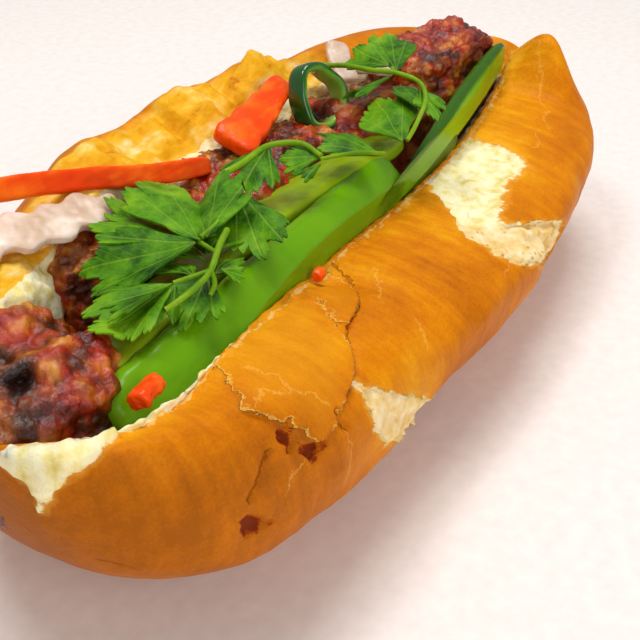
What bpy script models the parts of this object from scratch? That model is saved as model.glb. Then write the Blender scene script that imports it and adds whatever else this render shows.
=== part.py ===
"""Banh mi sandwich: a split crusty roll filled with pork, cucumber, carrot, daikon, chili and cilantro.

+X runs along the roll, -Y is the lower near wall of the bread, +Z is up.
Sizes are in millimetres and turned into metres when a mesh is made.
"""
import math

import bpy
import bmesh
import numpy as np
from mathutils import Vector
from mathutils.bvhtree import BVHTree

MM = 0.001
HALF_LENGTH = 105.0
BASE_CUT = 0.8
WALL_NEAR = 46.0
WALL_FAR = 46.1
WIDEST_NEAR = 26.3
WIDEST_FAR = 29.1
RIM_NEAR_Y = -18.0
RIM_NEAR_Z = 36.2
CROWN_FAR_Y = 32.7
CROWN_FAR_Z = 53.8
TIP_LEFT_Z = 49.2
TIP_RIGHT_Z = 41.2
BEND = -9.8
CORNER_POWER = 2.2
LIP = 2.6
CRUMB_WALL = 12.0
CAVITY_FLOOR = 17.0
SLIT_END_LEFT = 1.04
SLIT_END_RIGHT = 0.95
TEAR_DEPTH = 3.4
FLAP_HEIGHT = 12.5
FLAP_X = 92.0
CLEARANCE = 0.35
LEAF_THICKNESS = 0.8
STEM_RADIUS = 0.95

COLOURS = {
    "bread": (0.78, 0.42, 0.11),
    "pork": (0.22, 0.05, 0.025),
    "cucumber": (0.17, 0.44, 0.05),
    "carrot": (0.85, 0.16, 0.02),
    "daikon": (0.84, 0.76, 0.68),
    "chili": (0.05, 0.19, 0.02),
    "cilantro": (0.06, 0.27, 0.03),
}


def clear_objects():
    """Start from an empty file."""
    for item in list(bpy.data.objects):
        bpy.data.objects.remove(item, do_unlink=True)


def material(name):
    """One plain material a kind of food."""
    found = bpy.data.materials.get(name)
    if found:
        return found
    made = bpy.data.materials.new(name)
    made.use_nodes = True
    shader = made.node_tree.nodes["Principled BSDF"]
    shader.inputs["Base Color"].default_value = (*COLOURS[name], 1.0)
    shader.inputs["Roughness"].default_value = 0.5
    return made


def mesh_object(name, points, faces, kind):
    """Make an object in metres from points in millimetres, with its faces turned outward."""
    mesh = bpy.data.meshes.new(name)
    mesh.from_pydata((np.asarray(points) * MM).tolist(), [], faces)
    work = bmesh.new()
    work.from_mesh(mesh)
    bmesh.ops.triangulate(work, faces=work.faces[:])
    bmesh.ops.recalc_face_normals(work, faces=work.faces[:])
    if work.calc_volume(signed=True) < 0:
        bmesh.ops.reverse_faces(work, faces=work.faces[:])
    work.to_mesh(mesh)
    work.free()
    mesh.materials.append(material(kind))
    made = bpy.data.objects.new(name, mesh)
    bpy.context.scene.collection.objects.link(made)
    return made


def tube_faces(rows, ring):
    """Faces of a closed tube of rings with one end point before and one after the rings."""
    faces = []
    for i in range(rows - 1):
        for j in range(ring):
            a = 1 + i * ring + j
            b = 1 + i * ring + (j + 1) % ring
            faces.append((a, b, b + ring, a + ring))
    last = 1 + rows * ring
    for j in range(ring):
        faces.append((0, 1 + (j + 1) % ring, 1 + j))
        faces.append((last, last - ring + j, last - ring + (j + 1) % ring))
    return faces


def bump(value, centre, spread):
    """Smooth hump of height one."""
    return np.exp(-((value - centre) / spread) ** 2)


def ease(value):
    """Smooth step from zero to one."""
    value = np.clip(value, 0.0, 1.0)
    return value * value * (3.0 - 2.0 * value)


def rim_heights(u):
    """Near rim y and z, far crown y and z along the roll."""
    x = u * HALF_LENGTH
    rim_y = RIM_NEAR_Y + 0.8 * u - 0.2 * u * u + 17.7 * u ** 3
    rim_z = RIM_NEAR_Z - 5.7 * u + 12.1 * u * u - 1.7 * u ** 3
    crown_y = CROWN_FAR_Y - 1.4 * u - 9.5 * u * u
    crown_z = CROWN_FAR_Z + 1.4 * u - 2.5 * u * u - 3.5 * bump(x, -62.0, 15.0)
    crown_z = crown_z + 2.6 * bump(x, -31.0, 9.0) + 2.0 * bump(x, 0.0, 9.0) + 0.7 * bump(x, 27.0, 6.0)
    crown_z = crown_z - 2.3 * bump(x, 43.0, 9.0) + 1.7 * bump(x, 76.0, 12.0)
    return rim_y, rim_z, crown_y, crown_z


def torn_edges(u, t):
    """Ragged height of the two edges of the slit, which fades within a few millimetres of them."""
    x = u * HALF_LENGTH
    near = 0.6 * np.sin(x * 0.61) * np.cos(x * 0.23) - 2.8 * bump(x, -25.0, 4.5)
    near = near - 3.0 * ease((-66.0 - x) / 14.0)
    far = bump(x, 8.0, 38.0) * (0.5 * np.sin(x * 0.33 + 0.6) + 0.6 * np.sin(x * 0.81))
    return near * (bump(t, 0.0, 0.2) + bump(t, 14.0, 1.0)) + far * bump(t, 4.0, 0.5)


def outer_crust(u, t):
    """Crust in section, t from 0 at the near rim through 2 at the bottom to 4 at the far crown."""
    rim_y, rim_z, crown_y, crown_z = rim_heights(u)
    near = WALL_NEAR + 2.6 * u + 2.6 * u * u + 3.0 * bump(u, 0.08, 0.28)
    far = WALL_FAR + 0.5 * u
    power = 2.0 / CORNER_POWER
    a, b, c, d = (np.clip(t - k, 0.0, 1.0) * math.pi / 2 for k in range(4))
    sine = [np.sin(v) ** power for v in (a, b, c, d)]
    cosine = [np.abs(np.cos(v)) ** power for v in (a, b, c, d)]
    y = np.where(t <= 1, -near + (near + rim_y) * (1 - sine[0]), -near * cosine[1])
    y = np.where(t > 2, far * sine[2], y)
    y = np.where(t > 3, far - (far - crown_y) * (1 - cosine[3]), y)
    z = np.where(t <= 1, WIDEST_NEAR + (rim_z - WIDEST_NEAR) * cosine[0], WIDEST_NEAR * (1 - sine[1]))
    z = np.where(t > 2, WIDEST_FAR * (1 - cosine[2]), z)
    z = np.where(t > 3, WIDEST_FAR + (crown_z - WIDEST_FAR) * sine[3], z)
    return y, z


def crust_relief(u, t):
    """How far the crust is sunk where it is torn off, cracked or creased, in mm."""
    x = u * HALF_LENGTH
    s = 31.0 * np.clip(t, 0, 1) + 55.0 * np.clip(t - 1, 0, 1)
    along = ((x - 35.0) * -0.65 + (s - 15.0) * 0.76) / 24.0
    across = ((x - 35.0) * 0.76 + (s - 15.0) * 0.65) / 11.5
    sunk = TEAR_DEPTH * np.exp(-along ** 4 - across ** 4)
    sunk = sunk + 1.6 * np.exp(-((x + 41.0) / 12.0) ** 4 - ((s - 29.0) / 8.0) ** 4)
    sunk = sunk + 2.2 * np.exp(-((x + 102.0) / 8.0) ** 4 - (s / 12.0) ** 4)
    crack = x + 21.0 + s * 0.95
    sunk = sunk + 1.1 * np.exp(-(crack / 3.0) ** 2) * (s < 24.0)
    sunk = sunk - 0.8 * bump(x, -58.0, 14.0) * bump(s, 9.0, 9.0)
    sunk = sunk + 0.35 * np.sin(x * 0.19 + s * 0.11) * np.sin(s * 0.17 - x * 0.05)
    return np.where(t < 1.9, sunk, 0.0)


def bread_rings(u, ring_outer, ring_inner):
    """Rings round crust and hollow; the hollow closes toward the ends of the slit."""
    t = np.linspace(0.0, 4.0, ring_outer)[None]
    y, z = outer_crust(u, t)
    sunk = crust_relief(u, t)
    reach_y = y / np.hypot(y, z - 27.0)
    reach_z = (z - 27.0) / np.hypot(y, z - 27.0)
    y = y - sunk * reach_y
    z = z - sunk * reach_z
    rim_y, rim_z, crown_y, crown_z = rim_heights(u)
    x = u * HALF_LENGTH
    torn = bump(x, 5.0, 42.0)
    hollow_y = [crown_y - 7.0 - 4.0 * torn, crown_y - 9.5 - 4.0 * torn, 30.0 + 0 * u, 19.0 + 0 * u, 0 * u,
                -18.0 + 0 * u, -WALL_NEAR + CRUMB_WALL + 1.0 + 0 * u, rim_y + LIP + 1.0, rim_y + LIP]
    hollow_z = [crown_z - 1.5 - 6.0 * torn, crown_z - 12.0 + 0 * u, 27.0 + 0 * u, CAVITY_FLOOR + 1.5 + 0 * u,
                CAVITY_FLOOR + 0 * u, CAVITY_FLOOR + 1.0 + 0 * u, 26.0 + 0 * u, rim_z - 7.0, rim_z - 0.8]
    inner_y = np.concatenate(hollow_y, 1)
    inner_z = np.concatenate(hollow_z, 1)
    step = np.linspace(0.0, 1.0, len(hollow_y) + 2)[None, 1:-1]
    lid_y = crown_y + (rim_y - crown_y) * step
    lid_z = crown_z + (rim_z - crown_z) * step + 5.0 * np.sin(step * math.pi)
    slit_end = np.where(u < 0, SLIT_END_LEFT, SLIT_END_RIGHT)
    open_share = ease((slit_end - np.abs(u)) / 0.17)
    inner_y = lid_y + (inner_y - lid_y) * open_share
    inner_z = lid_z + (inner_z - lid_z) * open_share
    return np.concatenate([y, inner_y], 1), np.concatenate([z, inner_z], 1)


def taper(u):
    """Width and height share left toward each rounded end, and the height of the end points."""
    power = np.where(u < 0, 3.65, 2.44)
    wide = np.maximum(1 - np.abs(u) ** power, 0) ** (1 / 2.1)
    high = np.maximum(1 - np.abs(u) ** (1.2 * power), 0) ** (1 / 2.2)
    return wide, high, np.where(u < 0, TIP_LEFT_Z, TIP_RIGHT_Z)


def build_bread(columns=58, ring_outer=25, ring_inner=9):
    """The roll: one closed crust and crumb solid with its slit, tears and flap."""
    u = np.sin(np.linspace(-1, 1, columns + 2)[1:-1] * math.pi / 2 * 0.985)[:, None]
    y, z = bread_rings(u, ring_outer, ring_inner)
    wide, high, tip = taper(u)
    x = np.broadcast_to(u * HALF_LENGTH, y.shape)
    y = BEND * u * u + y * wide
    z = tip + (z - tip) * high
    t = np.concatenate([np.linspace(0.0, 4.0, ring_outer), np.linspace(5.0, 13.0, ring_inner)])[None]
    z = z + FLAP_HEIGHT * bump(x, FLAP_X, np.where(x < FLAP_X, 6.5, 7.0)) * bump(t, 0.26, 0.26)
    z = z + torn_edges(u, t) * wide
    z = np.maximum(z - BASE_CUT, 0.0)
    points = np.stack([x, y, z], -1).reshape(-1, 3)
    left = [[-HALF_LENGTH, BEND, TIP_LEFT_Z - BASE_CUT]]
    right = [[HALF_LENGTH, BEND, TIP_RIGHT_Z - BASE_CUT]]
    points = np.concatenate([left, points, right])
    return mesh_object("bread", points, tube_faces(columns, y.shape[1]), "bread")


def inflated(source, distance):
    """Copy of an object swollen outward, used to keep neighbours apart."""
    copy = source.copy()
    copy.data = source.data.copy()
    bpy.context.scene.collection.objects.link(copy)
    work = bmesh.new()
    work.from_mesh(copy.data)
    work.normal_update()
    moves = [v.normal * distance * MM for v in work.verts]
    for vert, move in zip(work.verts, moves):
        vert.co += move
    work.to_mesh(copy.data)
    work.free()
    copy.hide_render = True
    copy.display_type = "WIRE"
    return copy


def boxes_meet(a, b):
    """Whether the bounds of two objects come within a millimetre."""
    pa = np.array([v.co for v in a.data.vertices])
    pb = np.array([v.co for v in b.data.vertices])
    return bool((pa.min(0) - MM < pb.max(0)).all() and (pb.min(0) - MM < pa.max(0)).all())


def keep_largest(item):
    """Drop loose scraps."""
    work = bmesh.new()
    work.from_mesh(item.data)
    bmesh.ops.triangulate(work, faces=work.faces[:])
    work.verts.ensure_lookup_table()
    seen = set()
    groups = []
    for vert in work.verts:
        if vert in seen:
            continue
        group = [vert]
        seen.add(vert)
        for item_vert in group:
            for edge in item_vert.link_edges:
                other = edge.other_vert(item_vert)
                if other not in seen:
                    seen.add(other)
                    group.append(other)
        groups.append(group)
    groups.sort(key=len)
    for group in groups[:-1]:
        bmesh.ops.delete(work, geom=group, context="VERTS")
    bmesh.ops.recalc_face_normals(work, faces=work.faces[:])
    work.to_mesh(item.data)
    work.free()


def apply_boolean(item, operation, operand, solver):
    """Run one Boolean on the item and make it permanent."""
    modifier = item.modifiers.new("boolean", "BOOLEAN")
    modifier.operation = operation
    modifier.solver = solver
    if isinstance(operand, bpy.types.Collection):
        modifier.operand_type = "COLLECTION"
        modifier.collection = operand
    else:
        modifier.object = operand
    bpy.context.view_layer.objects.active = item
    bpy.ops.object.modifier_apply(modifier=modifier.name)


def keep_clear(item, neighbours):
    """Cut the item back from its neighbours so that a small gap is left all round."""
    for neighbour in neighbours:
        if boxes_meet(item, neighbour):
            cutter = inflated(neighbour, CLEARANCE)
            apply_boolean(item, "DIFFERENCE", cutter, "MANIFOLD")
            bpy.data.objects.remove(cutter, do_unlink=True)
    keep_largest(item)


def join_parts(name, parts):
    """Fuse overlapping parts into one solid."""
    group = bpy.data.collections.new(name + "_parts")
    bpy.context.scene.collection.children.link(group)
    for part in parts[1:]:
        bpy.context.scene.collection.objects.unlink(part)
        group.objects.link(part)
    apply_boolean(parts[0], "UNION", group, "MANIFOLD")
    for part in list(group.objects):
        bpy.data.objects.remove(part, do_unlink=True)
    bpy.data.collections.remove(group)
    parts[0].name = name
    keep_largest(parts[0])
    return parts[0]


def build_patty(name, centre, half, turn, seed, rows=9, ring=16):
    """A lumpy slab of grilled pork: a rounded block with noise from a few waves."""
    rng = np.random.default_rng(seed)
    v = np.linspace(0, math.pi, rows + 2)[1:-1, None]
    w = np.linspace(0, 2 * math.pi, ring, endpoint=False)[None]
    way = np.stack(np.broadcast_arrays(np.cos(v), np.sin(v) * np.cos(w), np.sin(v) * np.sin(w)), -1)
    way = way.reshape(-1, 3)
    way = np.concatenate([[[1.0, 0, 0]], way, [[-1.0, 0, 0]]])
    reach = (np.abs(way) ** 3.2).sum(1) ** (-1 / 3.2)
    for k in range(7):
        wave = rng.normal(0, 2.6 + 0.35 * k, 3)
        reach = reach * (1 + 0.035 * np.sin(way @ wave + rng.uniform(0, 6.28)))
    body = way * reach[:, None] * np.asarray(half)
    c, s = math.cos(math.radians(turn)), math.sin(math.radians(turn))
    body = body @ np.array([[c, s, 0], [-s, c, 0], [0, 0, 1]]) + np.asarray(centre)
    return mesh_object(name, body, tube_faces(rows, ring), "pork")


def sweep(name, path, outline, kind, twist=(0.0, 0.0), ends=0.55, steps=14, even=False, narrow=1.0):
    """Carry a closed outline along a smooth path, its ends drawn in; narrow is the width at the far end."""
    path = np.asarray(path, float)
    knots = np.linspace(0, 1, len(path))
    spots = np.linspace(0.04, 0.96, steps)
    if not even:
        spots = 0.5 - 0.5 * np.cos((0.02 + 0.96 * spots) * math.pi)
    line = smooth_path(path, knots, spots)
    ahead = smooth_path(path, knots, spots + 0.01) - smooth_path(path, knots, spots - 0.01)
    ahead = ahead / np.linalg.norm(ahead, axis=1, keepdims=True)
    side = np.cross([0, 0, 1.0], ahead)
    side = side / np.linalg.norm(side, axis=1, keepdims=True)
    upward = np.cross(ahead, side)
    turn = np.radians(np.interp(spots, [0, 1], twist))[:, None]
    across = side * np.cos(turn) + upward * np.sin(turn)
    normal = upward * np.cos(turn) - side * np.sin(turn)
    size = 1 - (1 - ends) * (np.abs(2 * spots - 1) ** 14)
    outline = np.asarray(outline, float)
    width = np.interp(spots, [0, 1], [1.0, narrow])[:, None, None]
    rings = line[:, None] + size[:, None, None] * (
        across[:, None] * width * outline[None, :, :1] + normal[:, None] * outline[None, :, 1:])
    start = smooth_path(path, knots, np.array([0.0])) + 0 * line[:1]
    finish = smooth_path(path, knots, np.array([1.0]))
    points = np.concatenate([start, rings.reshape(-1, 3), finish])
    return mesh_object(name, points, tube_faces(steps, len(outline)), kind)


def smooth_path(path, knots, spots):
    """Catmull-Rom curve through the path points, carried on straight past both ends."""
    first = 2 * path[:1] - path[1:2]
    last = 2 * path[-1:] - path[-2:-1]
    wide = np.concatenate([first, path, last])
    place = np.clip(np.asarray(spots), -0.02, 1.02) * (len(knots) - 1)
    low = np.clip(np.floor(place).astype(int), 0, len(knots) - 2)
    f = (place - low)[:, None]
    a, b, c, d = wide[low], wide[low + 1], wide[low + 2], wide[low + 3]
    return 0.5 * (2 * b + (c - a) * f + (2 * a - 5 * b + 4 * c - d) * f ** 2 + (3 * b - a - 3 * c + d) * f ** 3)


def rounded_box(width, height, corner=4.0, count=8):
    """Closed outline of a strip with soft corners."""
    a = np.linspace(0, 2 * math.pi, count, endpoint=False) + math.pi / count
    c, s = np.cos(a), np.sin(a)
    reach = (np.abs(c) ** corner + np.abs(s) ** corner) ** (-1 / corner)
    return np.stack([c * reach * width / 2, s * reach * height / 2], 1)


def build_chili(centre, radius, width, thick, tilt, turn, around=18, ring=6):
    """A ring cut from a green chili: a band of square section, tilted."""
    a = np.linspace(0, 2 * math.pi, around, endpoint=False)
    b = np.linspace(0, 2 * math.pi, ring, endpoint=False) + math.pi / ring
    band = radius * (1 + 0.08 * np.cos(3 * a + 0.7))[:, None] + 0.62 * width * np.cos(b)[None]
    up = 0.62 * thick * np.sin(b)[None] + 0 * band
    flat = np.stack([band * np.cos(a)[:, None], band * np.sin(a)[:, None], up], -1).reshape(-1, 3)
    tx, tz = math.radians(tilt), math.radians(turn)
    lean = np.array([[1, 0, 0], [0, math.cos(tx), -math.sin(tx)], [0, math.sin(tx), math.cos(tx)]])
    swing = np.array([[math.cos(tz), -math.sin(tz), 0], [math.sin(tz), math.cos(tz), 0], [0, 0, 1]])
    points = flat @ lean.T @ swing.T + np.asarray(centre)
    faces = []
    for i in range(around):
        for j in range(ring):
            p, q = i * ring + j, i * ring + (j + 1) % ring
            r, s = ((i + 1) % around) * ring + (j + 1) % ring, ((i + 1) % around) * ring + j
            faces.append((p, q, r, s))
    return mesh_object("chili_ring", points, faces, "chili")


def leaf_reach(angle, spread):
    """Outline of a lobed leaf: distance from its foot to its edge at each angle."""
    lobes = np.abs(np.cos(angle / spread * math.pi * 1.5))
    return (0.68 + 0.32 * lobes ** 0.8) * (1 - 0.30 * (angle / spread) ** 2)


def build_leaf(name, foot, tip, spread, curl, obstacles, rows=3, rays=14):
    """A thin wavy leaf that fans out from its foot, lifted clear of what lies under it."""
    foot, tip = np.asarray(foot, float), np.asarray(tip, float)
    ahead = tip - foot
    length = np.linalg.norm(ahead)
    ahead = ahead / length
    side = np.cross([0, 0, 1.0], ahead)
    side = side / np.linalg.norm(side)
    upward = np.cross(ahead, side)
    angle = np.linspace(-spread, spread, rays)[None]
    share = np.linspace(0, 1, rows + 1)[1:, None]
    reach = share * length * leaf_reach(angle, spread)
    wave = curl * length * (0.5 * share ** 2 * np.cos(angle * 2.2) - 0.45 * share ** 2)
    wave = wave + 0.045 * length * share * np.sin(angle * 4.1 + length)
    grid = foot + (reach * np.cos(angle))[..., None] * ahead + (reach * np.sin(angle))[..., None] * side
    grid = grid + wave[..., None] * upward
    top = np.concatenate([foot[None], grid.reshape(-1, 3)])
    top[:, 2] = np.maximum(top[:, 2], resting_height(top, obstacles) + LEAF_THICKNESS + 0.7)
    under = top - np.array([0, 0, LEAF_THICKNESS])
    count = len(top)
    faces = []
    for j in range(rays - 1):
        faces.append((0, 1 + j, 2 + j))
        for i in range(rows - 1):
            a = 1 + i * rays + j
            faces.append((a, a + rays, a + 1))
            faces.append((a + 1, a + rays, a + rays + 1))
    faces = faces + [tuple(count + k for k in reversed(face)) for face in faces]
    left = [1 + i * rays for i in range(rows)]
    right = [rays + i * rays for i in range(rows)]
    loop = [0] + left + list(range(left[-1] + 1, right[-1])) + right[::-1]
    for a, b in zip(loop, loop[1:] + loop[:1]):
        faces.append((a, b, count + b, count + a))
    return mesh_object(name, np.concatenate([top, under]), faces, "cilantro")


def resting_height(points, obstacles):
    """Height in mm of the highest surface under each point."""
    heights = np.full(len(points), -1000.0)
    for tree in obstacles:
        for k, point in enumerate(points):
            hit = tree.ray_cast(Vector((point[0] * MM, point[1] * MM, 0.2)), Vector((0, 0, -1)))
            if hit[0] is not None:
                heights[k] = max(heights[k], hit[0].z / MM)
    return heights


def surface_trees(items):
    """Search trees of the given objects."""
    trees = []
    for item in items:
        work = bmesh.new()
        work.from_mesh(item.data)
        trees.append(BVHTree.FromBMesh(work))
        work.free()
    return trees


def build_stem(name, path, radius, obstacles):
    """A round stem along a path, lifted clear of what lies under it."""
    path = np.asarray(path, float)
    knots = np.linspace(0, 1, len(path))
    path = smooth_path(path, knots, np.linspace(0, 1, max(4, len(path))))
    path[:, 2] = np.maximum(path[:, 2], resting_height(path, obstacles) + radius + 0.7)
    a = np.linspace(0, 2 * math.pi, 5, endpoint=False)
    outline = np.stack([np.cos(a) * radius, np.sin(a) * radius], 1)
    return sweep(name, path, outline, "cilantro", ends=0.8, steps=len(path) + 1, even=True)


def build_sprig(name, leaves, stems, below):
    """Leaves and stems of one cilantro sprig fused into one solid, clear of what is below."""
    trees = surface_trees(below)
    parts = []
    for k, (path, radius) in enumerate(stems):
        parts.append(build_stem(name + "_stem_%d" % k, path, radius, trees))
    for k, (foot, tip, spread, curl) in enumerate(leaves):
        parts.append(build_leaf(name + "_leaf_%d" % k, foot, tip, math.radians(spread), curl, trees))
    sprig = join_parts(name, parts)
    keep_clear(sprig, below)
    return sprig


def build_meat(done):
    """Five pieces of grilled pork laid along the roll."""
    plan = [
        ("pork_near", (-88.0, -1.5, 37.0), (17.5, 15.5, 13.0), -28.0, 3),
        ("pork_left", (-47.0, 15.0, 36.0), (15.0, 10.0, 11.0), -12.0, 8),
        ("pork_middle", (-4.0, 12.5, 34.5), (24.0, 13.0, 13.0), -3.0, 12),
        ("pork_right", (38.0, 7.0, 35.0), (19.0, 13.0, 13.0), -14.0, 21),
        ("pork_far", (70.0, 4.5, 42.5), (20.0, 12.5, 12.5), -6.0, 31),
    ]
    for name, centre, half, turn, seed in plan:
        piece = build_patty(name, centre, half, turn, seed)
        keep_clear(piece, done)
        done.append(piece)


def build_cucumber(done):
    """Four long cucumber slices: two faces up along the near rim, one behind, one below."""
    wedge = [(-6.0, -4.5), (-6.4, -2.0), (-1.0, 3.6), (1.5, 5.2), (4.0, 4.4), (5.2, 0.5), (4.6, -4.0), (0.0, -5.0)]
    plan = [
        ("cucumber_front", [(-84, -16.5, 40), (-54, -16.5, 41), (-28, -15, 40.5), (-4, -13.5, 40), (17, -12.5, 39.5)],
         wedge, (0, 0)),
        ("cucumber_right", [(0, -19.5, 33.5), (17, -18.2, 37.6), (43, -15.0, 41.5), (62, -12.5, 43.5), (89, -10, 45.5)],
         [(0.62 * a, 0.8 * b) for a, b in wedge], (4, 8)),
        ("cucumber_behind", [(-80, -8, 42), (-48, -4, 42.5), (-18, -3, 42.5), (28, -7, 42)],
         rounded_box(12.5, 4.2), (-14, -10)),
        ("cucumber_below", [(10, -22.5, 31), (30, -21, 33.5), (47, -18, 36)], rounded_box(6.5, 4.5), (-35, -35)),
    ]
    for name, path, outline, twist in plan:
        piece = sweep(name, path, outline, "cucumber", twist, ends=0.7, steps=10)
        keep_clear(piece, done)
        done.append(piece)


def build_carrot(done):
    """A long carrot strip over the far rim, a thick wedge and two small bits."""
    plan = [
        ("carrot_long", [(-14, 15.2, 47.0), (-29, 19.7, 49.8), (-44, 24.5, 53.8), (-60, 28.5, 57.4), (-76, 31.5, 59.4)],
         rounded_box(3.4, 4.4), (24, 30), 14, 1.0),
        ("carrot_wedge", [(-7, 14.5, 48.8), (7, 16.8, 50.3), (23.5, 20.5, 52)], rounded_box(10.0, 3.8), (24, 34), 8, 0.5),
        ("carrot_bit_left", [(-83.2, -21.8, 45.4), (-80.0, -21.3, 45.6), (-76.8, -20.6, 45.2)],
         rounded_box(4.6, 3.4), (-25, -15), 6, 0.8),
        ("carrot_bit_right", [(-30.0, -21.4, 39.7), (-26.6, -21.2, 39.7)], rounded_box(2.4, 2.4), (0, 0), 5, 1.0),
    ]
    for name, path, outline, twist, steps, narrow in plan:
        piece = sweep(name, path, outline, "carrot", twist, ends=0.6, steps=steps, narrow=narrow)
        keep_clear(piece, done)
        done.append(piece)


def build_daikon(done):
    """Three pale daikon strips by the far rim."""
    plan = [
        ("daikon_long", [(-43, 14.0, 49.5), (-50, 17.5, 51.5), (-58, 19.0, 52.0), (-67, 22.0, 53.0), (-78, 24.0, 52.5)],
         rounded_box(8.5, 2.2), (-18, -24), 14),
        ("daikon_middle", [(41.5, 12.5, 48.0), (46, 17.5, 50.5), (51, 22.0, 53.5)], rounded_box(6.0, 1.8), (10, 10), 8),
        ("daikon_right", [(49.5, 14, 49.5), (50, 9.5, 50), (52, 5.0, 49.5)], rounded_box(6.5, 1.8), (15, 15), 8),
    ]
    for name, path, outline, twist, steps in plan:
        piece = sweep(name, path, outline, "daikon", twist, ends=0.6, steps=steps)
        keep_clear(piece, done)
        done.append(piece)


def build_cilantro(done):
    """Three sprigs of cilantro on top: near, middle and far."""
    near_leaves = [
        ((-48, -8, 52), (-45, 16, 51.5), 30, 0.25),
        ((-50.5, -9, 53), (-64, 9.5, 50), 26, 0.3),
        ((-61.5, -12.5, 52), (-73.5, -1.5, 50), 36, 0.3),
        ((-62, -12.5, 52), (-78.5, -8, 49), 30, 0.3),
        ((-61.5, -13, 52), (-69.5, -13, 48), 34, 0.3),
        ((-49.5, -9, 53), (-34, 12.5, 53), 32, 0.2),
        ((-48, -9.5, 53), (-29, 0.5, 55), 26, 0.2),
        ((-31.5, -4.5, 54), (-44, -19, 49), 20, -0.3),
        ((-53, -16, 51), (-50.5, -20, 49.5), 38, 0.2),
        ((-55, -14.5, 50.5), (-66, -17.5, 47.5), 38, 0.2),
        ((-50, -10, 50), (-49.5, 0, 50), 34, 0.2),
        ((-48.5, -9.5, 50), (-36.5, -6.5, 50), 34, 0.2),
        ((-53, -14.5, 49.5), (-45.5, -15.5, 49.5), 30, 0.2),
        ((-56, -12.5, 50), (-52.5, -4, 49.5), 32, 0.2),
    ]
    near_stems = [
        ([(-44, -11, 53), (-50.5, -14, 54), (-56.5, -16.5, 53), (-61, -16.5, 52), (-66.5, -14.5, 50)], STEM_RADIUS),
        ([(-56.5, -16.5, 53), (-61.5, -12.5, 52)], STEM_RADIUS * 0.8),
        ([(-56.5, -16.5, 53), (-57.5, -18, 51.5), (-59, -18, 50)], STEM_RADIUS * 0.8),
        ([(-48.5, -8.5, 53), (-42, -8.5, 54), (-31.5, -4.5, 54)], STEM_RADIUS * 0.8),
        ([(-49, -8.5, 52.5), (-48.5, -12, 51)], STEM_RADIUS * 0.8),
    ]
    middle_leaves = [
        ((3.5, -17, 50.5), (1.5, -2, 53), 26, 0.25),
        ((-10, -10, 54), (-14, -1.5, 53), 42, 0.25),
        ((-11.5, -11, 53), (-18.5, -7, 51), 38, 0.25),
        ((-14, 0, 55), (-28, -2.5, 51.5), 38, 0.25),
    ]
    middle_stems = [
        ([(-27.5, 1.5, 54), (-21.5, 0.5, 54.5), (-14, 0, 55), (-9.5, -5, 55), (-10.5, -10.5, 53.8)], STEM_RADIUS * 1.2),
        ([(3.5, -17.5, 50.5), (-3.5, -15, 53), (-11, -10.5, 53.5)], STEM_RADIUS * 0.8),
    ]
    far_leaves = [
        ((32.5, -5, 57), (51.5, 6.5, 60), 17, 0.2),
        ((32.5, -3, 58), (38.5, 10.5, 58), 26, 0.2),
        ((32, -4, 56), (23.5, 5, 51), 30, 0.2),
        ((10.5, -18, 51), (25.5, -3, 53), 26, 0.2),
        ((27, -14, 56), (20.5, -22, 54), 36, 0.2),
        ((19.5, -18, 55), (30, -8, 55), 20, 0.2),
    ]
    far_stems = [
        ([(32.5, 15.5, 54), (29.5, 7, 57), (27.5, -1, 58), (29, -7, 58), (28.5, -13, 57), (22.5, -17.5, 56),
          (16, -19, 54), (11, -19, 50.5)], STEM_RADIUS),
        ([(29, -6, 58), (32.5, -4, 57.5)], STEM_RADIUS * 0.8),
    ]
    for name, leaves, stems in (("cilantro_near", near_leaves, near_stems),
                                ("cilantro_middle", middle_leaves, middle_stems),
                                ("cilantro_far", far_leaves, far_stems)):
        done.append(build_sprig(name, leaves, stems, list(done)))


def main():
    """Build the bread first, then each filling clear of all that came before."""
    clear_objects()
    done = [build_bread()]
    build_meat(done)
    build_cucumber(done)
    build_carrot(done)
    build_daikon(done)
    ring = build_chili((24.0, 11.0, 50.0), 6.8, 2.8, 4.6, 66.0, -9.0)
    keep_clear(ring, done)
    done.append(ring)
    build_cilantro(done)


main()
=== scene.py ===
"""Banh mi sandwich: a split crusty roll with grilled pork, cucumber, carrot, daikon, chili and cilantro.

Lengths are millimetres in the formulas and metres in the meshes.
+X runs along the roll, -Y is the lower near wall, +Z is up out of the slit.
"""

import math

import bpy
import numpy as np
from mathutils import Matrix, Vector


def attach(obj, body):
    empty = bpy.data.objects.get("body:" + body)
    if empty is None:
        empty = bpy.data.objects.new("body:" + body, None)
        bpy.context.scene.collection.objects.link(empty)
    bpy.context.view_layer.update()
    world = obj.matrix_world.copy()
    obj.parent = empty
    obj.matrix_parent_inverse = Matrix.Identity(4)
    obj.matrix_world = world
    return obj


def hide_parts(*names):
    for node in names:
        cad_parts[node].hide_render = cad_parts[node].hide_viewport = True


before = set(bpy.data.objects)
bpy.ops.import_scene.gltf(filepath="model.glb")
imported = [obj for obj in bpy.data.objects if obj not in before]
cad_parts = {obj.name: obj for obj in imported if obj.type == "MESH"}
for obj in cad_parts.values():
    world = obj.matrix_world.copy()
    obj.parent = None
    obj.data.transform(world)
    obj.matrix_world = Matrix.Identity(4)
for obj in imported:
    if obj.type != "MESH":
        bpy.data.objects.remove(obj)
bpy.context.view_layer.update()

# The roll: a wheat bread baked to a thin brittle crust, split along the top and pulled open.
# Its crust is torn off in three places, so that the crumb shows, and lifted in plates by cracks.
HALF_LENGTH = 105.0
BASE_CUT = 0.8
WALL_NEAR = 46.0
WALL_FAR = 46.1
WIDEST_NEAR = 26.3
WIDEST_FAR = 29.1
TIP_LEFT_Z = 49.2
TIP_RIGHT_Z = 41.2
BEND = -9.8
LIP = 1.5
CRUMB_WALL = 12.0
CAVITY_FLOOR = 17.0
FLAP_HEIGHT = 12.5
FLAP_X = 92.0
ARC_NEAR = 31.0
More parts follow.
